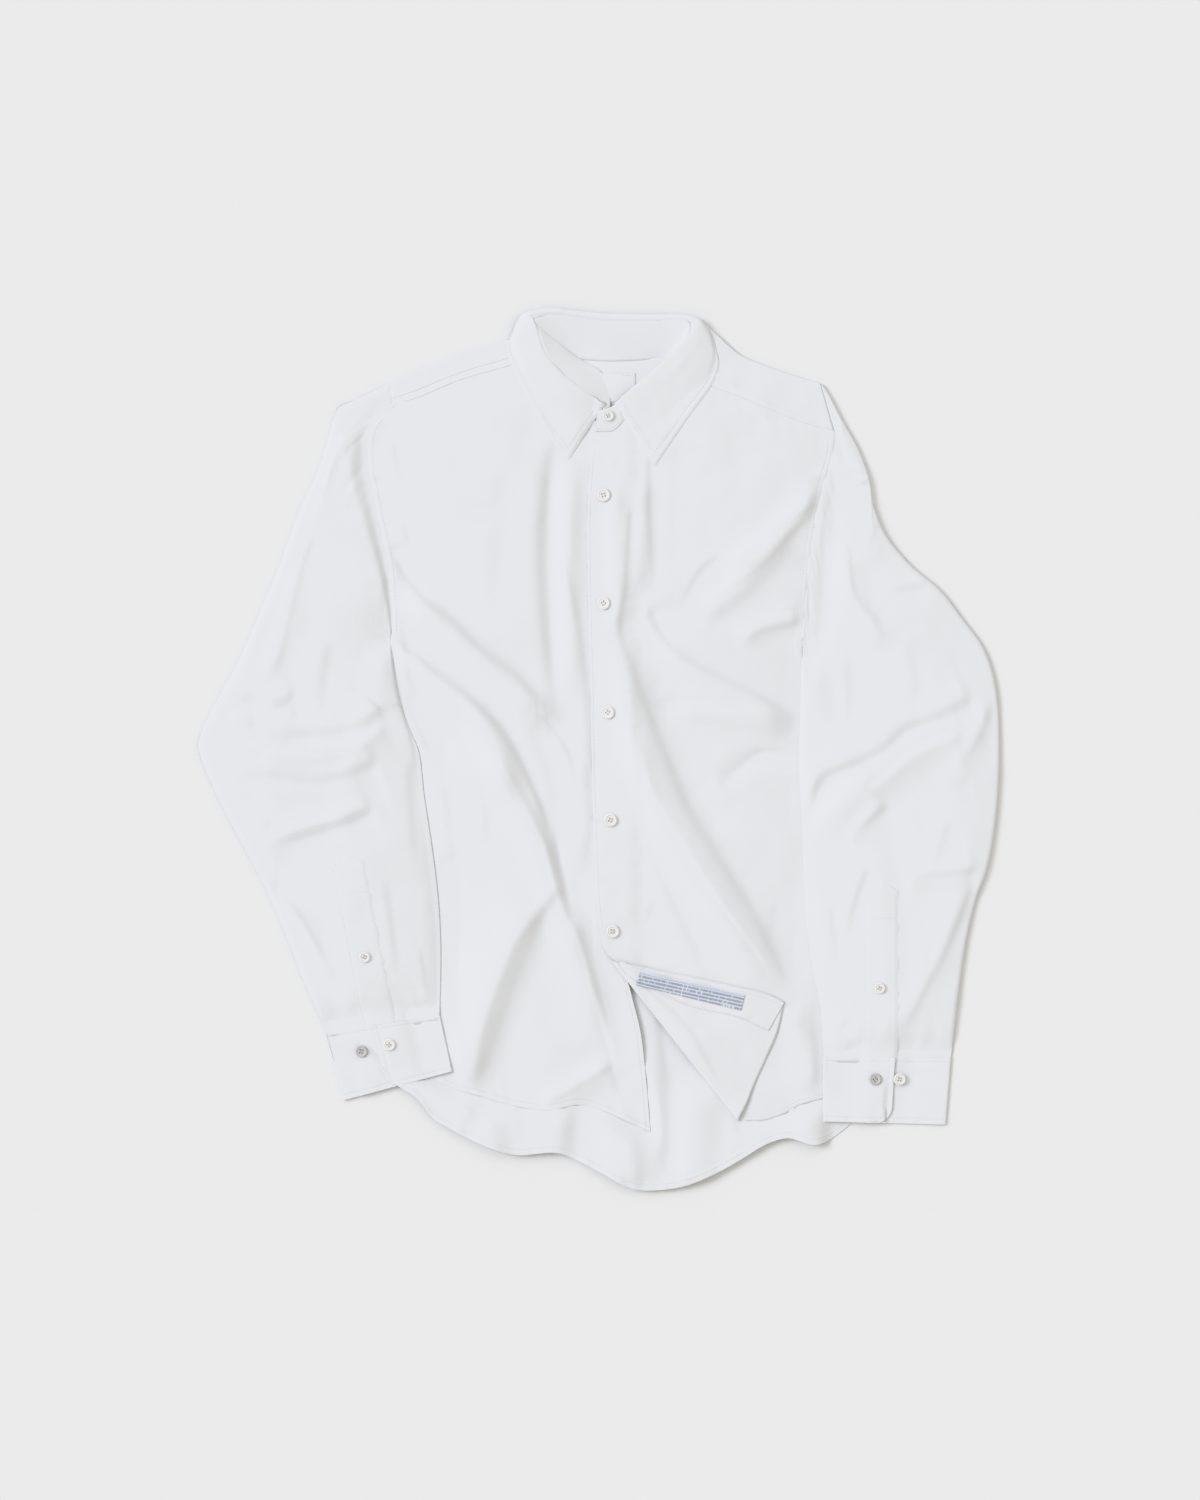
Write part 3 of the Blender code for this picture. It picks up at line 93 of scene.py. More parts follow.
RIGHT_ARMHOLE = [(-190, 328), (-187, 311), (-196, 300), (-205, 288), (-209, 272), (-207, 247),
    (-200, 211), (-192, 175), (-188, 140), (-187, 120), (-187, PIT_RIGHT)]
LEFT_ARMHOLE = [(200, 328), (204.5, 314), (208.5, 300), (212, 286), (209, 262), (203, 242),
    (197, 218), (191, 186), (187, 150), (184, 116), (182, PIT_LEFT)]
RIGHT_SIDE = [(-187, PIT_RIGHT), (-191, 76), (-197, 44), (-212, 0), (-224, -60), (-226, -136),
    (-222, -200), (-214, -253)]
LEFT_SIDE = [(182, PIT_LEFT), (186, 58), (192, 26), (218, -10), (240, -60), (250, -136),
    (256, -220), (257, -291)]
RIGHT_YOKE_SEAM = [(-187, 311), (-162, 318), (-126, 333), (-85, 345), (-49, 357)]
LEFT_YOKE_SEAM = [(76, 360), (88, 341), (101, 328), (126, 318), (152, 307), (180, 296), (212, 286)]
RIGHT_NECK = [(-49, 357), (-43, 342), (-31, 322), (-13, 304), (6, 291), (20, 289)]
LEFT_NECK = [(-4, 289), (10, 292), (32, 310), (50, 330), (66, 347), (76, 360)]
RIGHT_FRONT_EDGE = [(20, 289), (20, 170), (22, 44), (23, -90), (23, -190), (28, -218), (37, -255),
    (42, -298), (46, -345)]
LEFT_FRONT_EDGE = [(-4, 289), (-9, 250), (-11, 200), (-10, 120), (-8, 50), (-7, -10), (-5, -91),
    (-2, -145), FOLD_TOP]
RIGHT_HEM = [(-214, -253), (-180, -278), (-139, -302), (-108, -312), (-72, -322), (-45, -325),
    (-20, -320), (0, -324), (23, -334), (46, -345)]
LEFT_HEM = [FOLD_FOOT, (149, -334), (167, -328), (182, -320), (205, -314), (229, -307),
    (257, -291)]
TAIL_HEM = [(-214, -253), (-198, -287), (-181, -303), (-164, -314), (-151, -331), (-137, -340),
    (-110, -354), (-76, -365), (-40, -363), (-18, -371), (3, -382), (28, -395), (50, -397),
    (77, -393), (104, -382), (126, -370), (149, -356), (170, -350), (192, -356), (208, -351),
    (225, -338), (243, -320), (257, -291)]
RIGHT_SHOULDER = [(-190, 328), (-162, 341), (-126, 354), (-85, 367), (-50, 374)]
LEFT_SHOULDER = [(76, 372), (90, 383), (104, 374), (118, 361), (131, 352), (162, 340), (200, 328)]
BACK_NECK = [(-47, 357), (-22, 354), (9, 352), (40, 353), (76, 361)]
TURNED_EDGE = [FOLD_TOP, (18, -189), (45, -197), (90, -206), (126, -214), (149, -219), (166, -227)]
TURNED_HEM = [FOLD_FOOT, (137, -307), (149, -280), (160, -254), (166, -227)]
RIGHT_SLEEVE_OUTER = [(-190, 328), (-207, 320), (-221, 313), (-236, 306), (-245, 275), (-254, 248),
    (-270, 214), (-289, 162), (-305, 124), (-322, 84), (-341, 49), (-357, 18), (-361, 0),
    (-349, -31), (-334, -62), (-318, -92), (-301, -124), (-283, -165), (-267, -206), (-252, -240),
    (-247, -255)]
RIGHT_SLEEVE_INNER = [(-187, PIT_RIGHT), (-186.5, 80), (-182, 53), (-177, 33), (-169, 13),
    (-162, -5), (-158, -40), (-154, -66), (-149, -100), (-145, -136), (-143, -172), (-143, -208),
    (-144, -240)]
LEFT_SLEEVE_OUTER = [(200, 328), (207, 317), (219, 294), (232, 271), (242, 244), (246, 220),
    (257, 193), (279, 166), (306, 143), (327, 116), (345, 91), (355, 62), (359, 26), (359, -28),
    (355, -73), (348, -109), (338, -136), (329, -176), (322, -226), (316, -278)]
LEFT_SLEEVE_INNER = [(182, PIT_LEFT), (181, 44), (180, 8), (180, -19), (181, -46), (183, -82),
    (184, -118), (186, -154), (190, -185), (195, -212), (199, -233), (202, -277)]

# Cuffs: corners at the sleeve seam and at the open edge; where across the cuff its hidden
# under end and its top end lie (0 outer edge, 1 inner edge), and the top end's corner radius
RIGHT_CUFF = {"seam_outer": (-247, -255), "seam_inner": (-144, -240), "edge_outer": (-230, -316),
              "edge_inner": (-133, -290), "beside": [(-133, -290), (-128, -330)],
              "under_end": 0.66, "top_end": 0.41, "corner": 15.0}
LEFT_CUFF = {"seam_outer": (316, -278), "seam_inner": (202, -277), "edge_outer": (311, -338),
             "edge_inner": (201, -335), "beside": [(201, -335), (201, -350)],
             "under_end": 0.66, "top_end": 0.44, "corner": 15.0}

# ==== Folds. Columns: crest line's start, middle and end (X, Y each), height, and width to the
# left and to the right of the line, walking from its start to its end
RIGHT_FRONT_FOLDS = [
    (-43, 282, -44, 160, -38, 40, -4.0, 9, 9),
    (-26, 275, -28, 160, -25, 36, 4.0, 10, 10),
    (-190, 150, -108, 80, -34, 20, 9.0, 12, 17),
    (-190, 96, -112, 32, -70, -52, 8.0, 11, 17),
    (-182, 76, -165, 34, -128, -8, -3.0, 9, 9),
    (-124, 20, -52, -92, 8, -280, 9.0, 10, 17),
    (-42, -74, -35, -114, -22, -170, -3.5, 6, 6),
    (-50, -120, -88, -205, -124, -316, 10.0, 15, 30),
    (-136, -80, -130, -180, -120, -275, -4.0, 10, 12),
    (16, -280, -18, -302, -56, -322, 5.0, 12, 10),
]
LEFT_FRONT_FOLDS = [
    (14, 250, 15, 175, 17, 96, 4.5, 10, 10),
    (38, 250, 36, 195, 33, 135, 4.0, 9, 11),
    (14, 116, 48, -32, 158, -222, 10.0, 20, 15),
    (28, 24, 58, -82, 122, -184, 3.0, 8, 10),
    (46, 102, 100, 60, 180, 22, 5.0, 9, 13),
    (60, 36, 118, 30, 176, 17, 3.5, 8, 10),
    (106, -32, 140, -8, 180, -14, -3.5, 9, 9),
    (84, 114, 128, 148, 174, 194, 5.0, 12, 10),
    (108, 156, 158, 190, 204, 240, 6.0, 12, 10),
    (122, 94, 150, 112, 186, 120, 3.5, 9, 9),
    (170, -230, 186, -270, 190, -312, 4.0, 12, 14),
]
RIGHT_SLEEVE_FOLDS = [
    (-234, 308, -212, 220, -194, 92, 8.0, 13, 38),
    (-262, 175, -278, 116, -303, 56, 3.5, 12, 12),
    (-338, 29, -302, 34, -266, 38, 4.0, 9, 11),
    (-318, 6, -262, -2, -184, 26, 8.0, 11, 14),
    (-348, -24, -278, -36, -204, -20, 5.0, 10, 13),
    (-308, -92, -262, -74, -214, -56, 3.0, 9, 9),
    (-298, -134, -266, -156, -232, -212, 3.5, 10, 10),
]
LEFT_SLEEVE_FOLDS = [
    (214, 240, 206, 160, 203, 76, -3.0, 11, 10),
    (222, 186, 230, 138, 262, 84, 4.5, 11, 13),
    (186, -80, 256, -14, 340, 36, 10.0, 13, 18),
    (316, -22, 340, 6, 352, 42, 3.0, 10, 10),
    (222, -86, 238, -66, 260, -46, 3.0, 9, 10),
    (270, -116, 306, -116, 340, -112, 4.0, 9, 10),
    (336, -122, 306, -184, 268, -262, 4.0, 13, 13),
    (214, 300, 226, 276, 238, 244, 3.0, 12, 12),
]
TAIL_FOLDS = [
    (20, -300, 24, -346, 30, -400, 5.0, 12, 22),
    (88, -300, 84, -346, 80, -400, 4.5, 20, 14),
    (-100, -326, -98, -348, -92, -384, 4.0, 14, 14),
    (186, -326, 188, -346, 196, -376, 4.0, 12, 14),
]

# ==== Collar sections, from the right front point round the back of the neck to the left one
# Leaf. Columns: roll line (X, Y, Z), halfway down the leaf (X, Y, Z), its edge (X, Y, Z)
LEAF_SECTIONS = [
    (5, 309, 18.6, -12, 284, 17.0, -28, 258, 13.0),
    (-14, 320.5, 20.0, -30, 302, 18.5, -45, 281, 13.5),
    (-33, 334, 21.5, -48, 324, 19.0, -63, 312, 13.5),
    (-50.5, 354.5, 22.0, -63, 347, 19.0, -75, 337, 13.0),
    (-58.5, 377, 21.5, -73, 371, 16.5, -83, 357, 10.5),
    (-61, 386, 20.0, -71, 382, 13.5, -79, 372, 9.5),
    (-63, 392, 18.0, -68, 391, 10.5, -70, 387, 4.5),
    (-42, 393.5, 15.0, -44, 395.5, 8.0, -43, 380, 1.4),
    (-20, 390.5, 13.0, -21, 392.5, 7.0, -20, 366, 1.0),
    (9, 388, 12.5, 9, 390, 6.6, 9, 361, 1.0),
    (40, 387.5, 13.0, 41, 389.5, 6.8, 38, 362, 1.0),
    (66, 388, 15.0, 68, 390, 7.5, 64, 374, 1.2),
    (82, 388, 17.5, 87, 388, 9.5, 85, 384, 4.0),
    (89.5, 385, 19.5, 95.5, 380, 12.5, 99, 374, 9.0),
    (88, 378.5, 21.0, 98, 370, 15.5, 105, 358, 10.5),
    (81.5, 370, 21.5, 96, 359, 17.0, 107, 343, 12.0),
    (69, 356, 21.0, 86, 342, 18.0, 99, 324, 13.0),
    (51.5, 339, 20.5, 68, 322, 17.5, 82, 301, 13.0),
    (33.5, 324, 19.8, 50, 301, 17.0, 64, 275, 12.5),
    (14, 310, 18.6, 31, 282, 16.5, 49, 253, 12.5),
]
# Stand. Columns: foot of the band (X, Y, Z), its top edge (X, Y, Z)
STAND_SECTIONS = [
    (7, 286.5, 8.2, 6, 306, 11.6),
    (10, 318, 2.0, -12.8, 321.8, 18.2),
    (4, 337, 0.8, -31.7, 335.4, 19.8),
    (-6, 345, 0.5, -48.7, 355.8, 20.3),
    (-16, 349.5, 0.5, -56, 377, 19.6),
    (-20, 350.5, 0.5, -58.5, 387, 18.2),
    (-16, 350, 0.5, -38, 390.8, 13.4),
    (9, 348.5, 0.5, 9, 385.8, 11.0),
    (36, 349.5, 0.5, 54, 385.6, 11.8),
    (56, 351.5, 0.5, 79, 385.6, 15.8),
    (56, 347, 0.5, 79.6, 371, 19.4),
    (45, 337, 0.8, 67.3, 357.6, 19.2),
    (31, 325, 2.0, 49.9, 340.6, 18.8),
    (27, 305, 7.0, 32, 325.8, 18.2),
    (14, 287, 11.6, 13.4, 309, 17.0),
    (-4, 285, 12.8, -2, 304, 15.8),
]

# Outlines and places of the trims
RIGHT_PLACKET = {"foot": (-198.5, -246), "head": (-228, -94), "width": 31.0, "point": 10.0}
LEFT_PLACKET = {"foot": (253, -274), "head": (253, -118), "width": 32.0, "point": 9.0}
NECK_LABEL = [(-9, 338), (32, 338), (32, 312), (-9, 312)]
CARE_LABEL = [(36, -200), (131, -221), (127, -235), (33, -212)]
FACING_INNER = [(16, -193), (30, -207), (82, -231), (122, -240), (152, -253)]
FRONT_BUTTONS = [(4, 228), (4, 131), (8, 33), (10, -64), (12, -164)]
COLLAR_BUTTON_PLACE = (8, 299.5)
RIGHT_CUFF_BUTTONS = [(-189, -266), (-214, -272)]
LEFT_CUFF_BUTTONS = [(248, -297), (270, -297)]
RIGHT_PLACKET_BUTTON = (-211, -187)
LEFT_PLACKET_BUTTON = (252, -215)
FRONT_BUTTON = 12.0       # diameters
CUFF_BUTTON = 11.0
SMALL_BUTTON = 10.0       # at the collar and on the plackets
BUTTON_THICK = 2.3
BUTTON_HOLE_OFF = 0.20    # of a hole's centre along each axis, in radii
BUTTON_HOLE = 0.13        # radius of a hole, in radii
LABEL_ROW = 0.0031        # pitch of the care label's rows of dashes, in metres

# The view, in metres: the frame's height on the floor, its middle, and the film's height
VIEW_HEIGHT = 1.35
VIEW_CENTRE = (0.00045, -0.0009)
SENSOR = 0.024

# The cloth here. Its middle surfaces follow the solids' own, with finer relief
SHELL = 0.6               # wall of a single layer
CUFF_SHELL = 0.9          # of a cuff or the collar's stand
LEAF_SHELL = 0.7          # of the collar's leaf
CARE_TAPE = 0.35          # of the care label
NECK_TAPE = 0.4           # of the label inside the neck
FOLD_SHARE = 0.80         # of the fronts' folds kept under the finer creases
SEAM_SHARE = 0.2          # of folds and creases carried on across the seams
SEAM_REACH = 12.0         # how far in from the seams they are whole
HEM_PUFF = 0.3            # share of the fronts' puff that is left at their hems
FLANK_START = 10.0        # length in which a crease swells in
FLANK_END = 38.0          # and in which it dies away
YOKE_OVER = 0.10          # how far the yoke's folded edge stands above the front at its seam
YOKE_UNDER = 0.15         # how far the front sinks to run under it
NECK_MIDDLE = (12.0, 318.0)  # of the hollow inside the collar, where the yoke rises
NECK_RISE = 4.5           # how far
NECK_SPAN = 62.0          # and how far round
BACK_FLAT = 0.35          # middle of the back's wall
TAIL_LIFT = 5.0           # of the tail's cloth near its hem, under its folds
TAIL_RISE_RUN = 140.0     # how far up from the hem its folds and its lift reach
TAIL_CLEAR = 0.75         # of the tail below the fronts that cover it
TAIL_SLOPE = 0.45         # how fast it may rise beyond them
TAIL_PRESSED = 197.0      # X beyond which it lies flat under a cuff
SLEEVE_THIN = 1.0         # depth of a sleeve along its inner edge, below the underarm
SLEEVE_FOLD_SHARE = 0.45  # of a sleeve's folds kept under the finer creases
SLEEVE_CREASE_SHARE = 1.1  # scale of its creases' falls
PLACKET_TUCK = 9.0        # of a sleeve placket's foot, under the cuff
COLLAR_FLAT = 0.54        # height of the collar, as a share of its solid's
STITCH_PITCH = 3.0        # of the stitches along a seam
STITCH_LENGTH = 2.3       # of one stitch
STITCH_RADIUS = 0.24      # and of its thread
HEM_WIDTH = 6.0           # of the doubled cloth at a hem or an armhole
SEW_IN = 5.0              # from such an edge to its stitching
CUFF_SEW_IN = 4.6         # from a cuff's open edges to its stitching
CUFF_SEW_SEAM = 3.8       # and from its seam
NEAR_EDGE = (0.4, 1.2, 2.2, 3.4, 4.4, 5.0, 5.6)  # distances of the rows along a sewn edge
# Places of the rows down the leaf's sections, closer near their edge
LEAF_PLACES = np.concatenate([np.linspace(0, 0.9, 30),
                              [0.915, 0.93, 0.94, 0.95, 0.96, 0.97, 0.98, 0.988, 0.995, 1.0]])

# Creases, each a flank that falls away from one side of its course to the other: towards +X where
# the course runs down the shirt. Columns: fall, half-width of the flank, reach of the slow rise
# on the high side and on the low side, then X and Y of each point of the course
RIGHT_FRONT_CREASES = [
    (3.5, 7.5, 16, 22, -43, 278, -50, 229, -55, 187, -53, 139, -48, 90, -42, 41, -36, 19),
    (3.1, 5, 9, 10, -33, 174, -23, 134, -16, 89, -11, 40, -9, -10, -8, -46),
    (2.5, 5, 10, 9, -14, -10, -9, -46, -9, -73, -18, -118),
    (4.7, 4.8, 14, 16, -194, 181, -183, 165, -161, 137, -132, 115, -106, 89, -77, 68, -57, 45,
     -36, 30),
    (1.7, 1.8, 8, 8, -153, 102, -143, 96, -109, 71, -77, 45, -47, 23, -28, -5, -19, -37),
    (5.3, 3.6, 13, 15, -203, 112, -180, 94, -164, 82, -143, 64, -117, 45, -91, 20, -73, -10,
     -54, -50, -43, -87),
    (2.3, 8, 12, 14, -68, 22, -54, -3, -44, -37, -40, -86),
    (-2.0, 2.0, 9, 9, -130, 39, -121, 27, -99, -2, -77, -35, -54, -79, -44, -115, -33, -148,
     -18, -178, -8, -214, 8, -262, 17, -302),
    (0.9, 1.6, 5, 8, -44, -71, -39, -91, -36, -111, -31, -138, -25, -166),
    (2.5, 6, 14, 14, -189, 89, -176, 71, -157, 41, -132, 13, -109, -24, -102, -60, -100, -96),
    (2.3, 7, 14, 16, -147, 4, -143, -17, -132, -97, -125, -141, -119, -196, -121, -239),
    (-1.4, 1.6, 6, 6, -120, -102, -108, -107, -96, -112, -81, -118),
    (5.1, 5.5, 16, 26, -34, -122, -45, -138, -70, -170, -84, -200, -95, -229, -104, -258,
     -109, -287, -117, -316),
    (2.5, 3, 10, 10, 17, -282, 0, -292, -22, -305, -46, -318, -63, -323),
    (2.5, 2.5, 6, 8, 11, -291, 16, -307, 22, -327),
    (1.7, 2.5, 8, 8, -187, 278, -181, 251, -176, 224),
    (1.4, 3, 8, 8, -180, 206, -169, 181, -154, 170),
    (1.6, 3, 8, 8, -91, 357, -97, 345, -100, 332),
    (1.6, 2.5, 6, 6, -79, 359, -84, 348, -90, 339),
    (1.3, 2.5, 7, 7, -117, 354, -113, 343, -117, 332),
    (1.4, 10, 22, 22, -90, 251, -95, 170, -100, 98),
    (4.8, 8, 16, 20, -185, 170, -180, 125, -176, 89, -169, 53, -161, 13, -151, -37),
    (2.3, 6, 10, 16, -145, -91, -144, -136, -144, -181, -140, -217),
]
LEFT_FRONT_CREASES = [
    (3.6, 4.0, 8, 12, 27, 220, 26, 197, 25, 184, 23, 148, 18, 114, 20, 89),
    (4.7, 6.2, 16, 22, 16, 125, 20, 98, 29, 73, 47, 24, 64, -17, 81, -56, 106, -97, 130, -135,
     147, -166, 164, -201, 175, -222),
    (2.5, 4.0, 8, 10, 44, 267, 44, 249, 44, 218, 47, 159, 49, 138),
    (-1.6, 1.5, 7, 7, 36, -21, 47, -41, 71, -80, 92, -114, 116, -149, 144, -187, 158, -212),
    (2.0, 4.0, 9, 9, 29, 26, 31, 10, 35, -24, 40, -59, 40, -86),
    (1.4, 2.5, 6, 6, 33, -87, 40, -98, 45, -114),
    (2.0, 5.0, 12, 12, 47, -98, 54, -114, 74, -156, 92, -197, 98, -212),
    (1.6, 2.5, 6, 6, 49, -136, 44, -148, 36, -168),
    (3.8, 4.0, 12, 14, 42, 130, 48, 114, 61, 94, 78, 79, 106, 66, 137, 51, 158, 38, 186, 26),
    (-2.0, 4.0, 10, 10, 50, 47, 61, 45, 89, 45, 113, 38, 140, 31, 186, 18),
    (2.1, 3.0, 9, 10, 186, -6, 162, -4, 144, -2, 123, -17, 101, -37),
    (1.7, 2.5, 8, 9, 186, 116, 162, 110, 140, 104, 119, 87),
    (1.4, 2.5, 8, 8, 186, 129, 154, 124, 135, 129, 117, 140),
    (2.0, 2.4, 8, 10, 110, 176, 92, 163, 78, 141, 70, 122),
    (1.3, 2.4, 8, 10, 200, 224, 192, 218, 158, 197, 130, 173, 105, 155),
    (1.8, 2.6, 9, 12, 186, 210, 175, 197, 164, 184, 144, 163, 119, 145, 94, 122),
    (1.1, 2.5, 6, 7, 207, 249, 198, 242, 184, 237, 171, 224),
    (1.1, 9, 22, 22, 69, 278, 66, 224, 69, 179),
    (0.9, 10, 24, 24, 114, 287, 116, 242, 112, 206),
    (1.3, 2.5, 7, 7, 31, 154, 44, 147, 60, 137),
    (1.7, 2.6, 9, 9, 116, 327, 135, 320, 158, 309, 185, 298, 215, 289),
    (1.4, 2.4, 8, 8, 144, 298, 162, 292, 184, 289, 207, 282),
    (1.4, 2.2, 7, 7, 96, 336, 113, 333, 137, 328),
    (1.3, 2.5, 6, 7, -9, -19, 2, -22, 17, -32),
    (1.4, 2.5, 6, 7, 9, 242, 0, 224, -5, 206),
    (1.6, 3.0, 7, 7, 20, 265, 9, 251, -1, 244),
    (1.7, 3, 9, 9, 186, -140, 177, -163, 171, -194),
    (1.3, 4, 10, 10, 158, -136, 153, -163, 155, -190),
]
FLAP_CREASES = [
    (1.6, 3, 10, 12, 26, -203, 54, -226, 81, -253, 101, -289, 112, -314),
    (0.9, 6, 14, 14, 54, -208, 90, -244, 117, -280),
]
RIGHT_SLEEVE_CREASES = [
    (1.4, 8.0, 18, 18, -234, 305, -223, 278, -214, 251, -205, 215, -198, 179, -192, 143,
     -190, 105),
    (2.5, 5.0, 12, 14, -256, 193, -265, 170, -279, 116, -288, 80, -304, 53),
    (6.7, 5.5, 14, 16, -194, 41, -197, 34, -225, 19, -270, 13, -315, 17),
    (6.7, 5.0, 12, 14, -271, 50, -292, 41, -315, 46, -340, 35),
    (6.7, 5.5, 14, 16, -198, -10, -234, -23, -270, -26, -346, -17),
    (5.5, 3.4, 12, 12, -202, -53, -234, -66, -270, -77, -307, -91),
    (1.7, 2.5, 8, 8, -293, -62, -304, -76, -320, -93),
    (3.8, 4.5, 12, 14, -298, -134, -279, -139, -261, -163, -234, -212),
    (1.6, 2.5, 7, 7, -162, -176, -158, -203, -154, -230),
    (2.5, 3.0, 8, 8, -149, -228, -166, -231, -183, -235),
    (3.8, 3.5, 9, 9, -298, -3, -324, -6, -349, -3),
    (2.4, 5, 14, 14, -243, 98, -250, 53, -246, 26),
    (2.5, 5, 12, 12, -172, -10, -169, -64, -163, -118),
    (2.3, 4, 10, 10, -193, -118, -187, -163, -181, -208),
    (1.6, 3.5, 9, 9, -270, 251, -277, 224, -284, 188),
    (1.4, 3.0, 8, 8, -229, 278, -219, 242, -214, 206),
    (1.4, 4, 10, 10, -310, 98, -304, 80, -288, 69),
    (1.3, 3, 8, 8, -253, -235, -243, -230, -229, -228),
    (-4.3, 3.5, 10, 12, -194, 22, -225, 4, -270, -1, -315, 3),
]
LEFT_SLEEVE_CREASES = [
    (-3.7, 3.5, 10, 12, 324, 17, 284, -1, 257, -23, 230, -46),
    (1.7, 6.0, 12, 14, 213, 278, 206, 242, 200, 188, 197, 134, 194, 76),
    (2.9, 4.0, 10, 10, 224, 188, 225, 170, 230, 139, 248, 116, 258, 85),
    (2.5, 2.2, 8, 8, 297, 147, 275, 145, 251, 140),
    (7.2, 6.5, 16, 18, 338, 47, 302, 29, 275, 19, 252, -1, 225, -14, 203, -23, 194, -37, 185, -68),
    (4.1, 5.0, 12, 12, 353, 42, 347, 26, 338, 4, 317, -19),
    (3.1, 3.5, 10, 10, 335, -26, 323, -30, 308, -33),
    (4.1, 4.0, 11, 11, 260, -48, 243, -64, 224, -84),
    (2.7, 4.0, 10, 10, 242, -104, 230, -136, 221, -176),
    (4.6, 3.5, 10, 10, 342, -109, 306, -112, 272, -114),
    (3.3, 4.5, 12, 12, 335, -123, 311, -181, 288, -226, 269, -262),
    (1.6, 3.0, 8, 8, 227, -237, 216, -251, 204, -264),
    (2.8, 2.0, 7, 7, 247, 241, 230, 238, 215, 235),
    (1.6, 5, 12, 12, 275, 98, 284, 62, 278, 26),
    (1.4, 4, 10, 10, 221, 80, 225, 44, 218, 8),
    (1.4, 4, 10, 10, 315, -64, 306, -91, 297, -118),
    (1.3, 3, 8, 8, 252, 206, 245, 188, 242, 170),
    (1.4, 3, 8, 8, 207, -136, 211, -172, 215, -208),
    (1.3, 3, 8, 8, 297, -172, 293, -199, 284, -217),
]
TAIL_CREASES = [
    (10.5, 12, 20, 30, 54, -190, 55, -226, 57, -280, 57, -325, 58, -397),
    (11.0, 12, 22, 26, -19, -280, -25, -316, -28, -343, -30, -388),
    (6.0, 9.0, 14, 14, -99, -291, -109, -316, -118, -341, -124, -361),
    (1.6, 5, 14, 14, -75, -325, -70, -343, -68, -370),
    (-2.0, 7.0, 14, 20, 122, -316, 116, -343, 110, -379),
    (2.4, 7, 12, 14, 191, -320, 186, -343, 180, -361),
    (1.6, 5, 10, 10, 220, -316, 216, -334, 213, -352),
]
CUFF_CREASES = [
    (0.5, 2.0, 5, 5, -142, -244, -151, -251, -163, -258),
    (0.5, 2.0, 6, 6, 306, -287, 270, -291, 225, -290),
]
LEAF_CREASES = [
    (0.7, 4, 9, 9, -54, 359, -39, 338, -21, 318, 0, 312),
    (0.9, 4.5, 9, 10, 96, 372, 85, 357, 62, 332, 36, 310),
]

# ==== Curves, patches and folds
def ease(value):
    """0 below 0, 1 above 1, and a soft S between."""
    value = np.clip(value, 0.0, 1.0)
    return value * value * (3.0 - 2.0 * value)


def rounded(points):
    """Closely spaced points of a smooth curve (Catmull-Rom) through the given ones."""
    knots = np.asarray(points, float)
    padded = np.vstack([2 * knots[0] - knots[1], knots, 2 * knots[-1] - knots[-2]])
    step = np.linspace(0.0, 1.0, 12, endpoint=False)[:, None]
    spans = []
    for before, start, end, after in zip(padded, padded[1:], padded[2:], padded[3:]):
        spans.append(0.5 * (2 * start + (end - before) * step
                            + (2 * before - 5 * start + 4 * end - after) * step ** 2
                            + (3 * start - before - 3 * end + after) * step ** 3))
    return np.vstack(spans + [knots[-1:]])


def length_of(line):
    """Length of a line."""
    return np.linalg.norm(np.diff(line, axis=0), axis=1).sum()


def at(line, places, values=None):
    """Points of a line, or values given at its points, at places 0 to 1 of its length."""
    length = np.concatenate([[0.0], np.cumsum(np.linalg.norm(np.diff(line, axis=0), axis=1))])
    wanted = length[-1] * np.asarray(places, float)
    values = line if values is None else values
    return np.stack([np.interp(wanted, length, axis) for axis in values.T], axis=-1)


def places_along(line, step, start=(), end=()):
    """Places 0 to 1 along a line, a step apart, with more at given distances from its ends."""
    length = length_of(line)
    near, far = np.array(start, float), np.array(end, float)
    low = near.max() if len(near) else 0.0
    high = length - (far.max() if len(far) else 0.0)
    even = np.linspace(low, high, max(int(round((high - low) / step)), 2) + 1)
    return np.unique(np.concatenate([[0.0], near, even, length - far, [length]])) / length


def patch(start, end, side_a, side_b, down, over):
    """Coons patch between four edges given as points: (columns, 2) or a whole grid of them.

    `down` and `over` are the places, 0 to 1, that blend start into end and side_a into side_b.
    """
    down, over = np.asarray(down, float), np.asarray(over, float)
    d = down[:, None, None] if down.ndim == 1 else down[..., None]
    o = over[None, :, None] if over.ndim == 1 else over[..., None]
    side_a, side_b = side_a[:, None], side_b[:, None]
    ruled = (1 - d) * start + d * end
    sided = (1 - o) * side_a + o * side_b
    corners = ((1 - d) * ((1 - o) * side_a[0] + o * side_b[0])
               + d * ((1 - o) * side_a[-1] + o * side_b[-1]))
    return ruled + sided - corners


def relaxed(grid, passes):
    """A patch whose points have moved towards the mean of their neighbours.

    Each pass goes half of the way, and less near the patch's own edges, so that no cells
    overlap where an edge turns sharply.
    """
    row, column = np.arange(grid.shape[0])[:, None], np.arange(grid.shape[1])[None]
    inward = np.minimum(np.minimum(row, row[::-1]), np.minimum(column, column[:, ::-1]))
    weight = 0.5 * np.clip(inward / 6.0, 0, 1)[1:-1, 1:-1, None]
    for _ in range(passes):
        around = grid[:-2, 1:-1] + grid[2:, 1:-1] + grid[1:-1, :-2] + grid[1:-1, 2:]
        grid = grid.copy()
        grid[1:-1, 1:-1] += weight * (around / 4 - grid[1:-1, 1:-1])
    return grid


def pushed(line, distance):
    """A line moved sideways by a distance, to the left of its course."""
    ahead = unit(np.gradient(line, axis=0))
    return line + distance * np.column_stack([-ahead[:, 1], ahead[:, 0]])


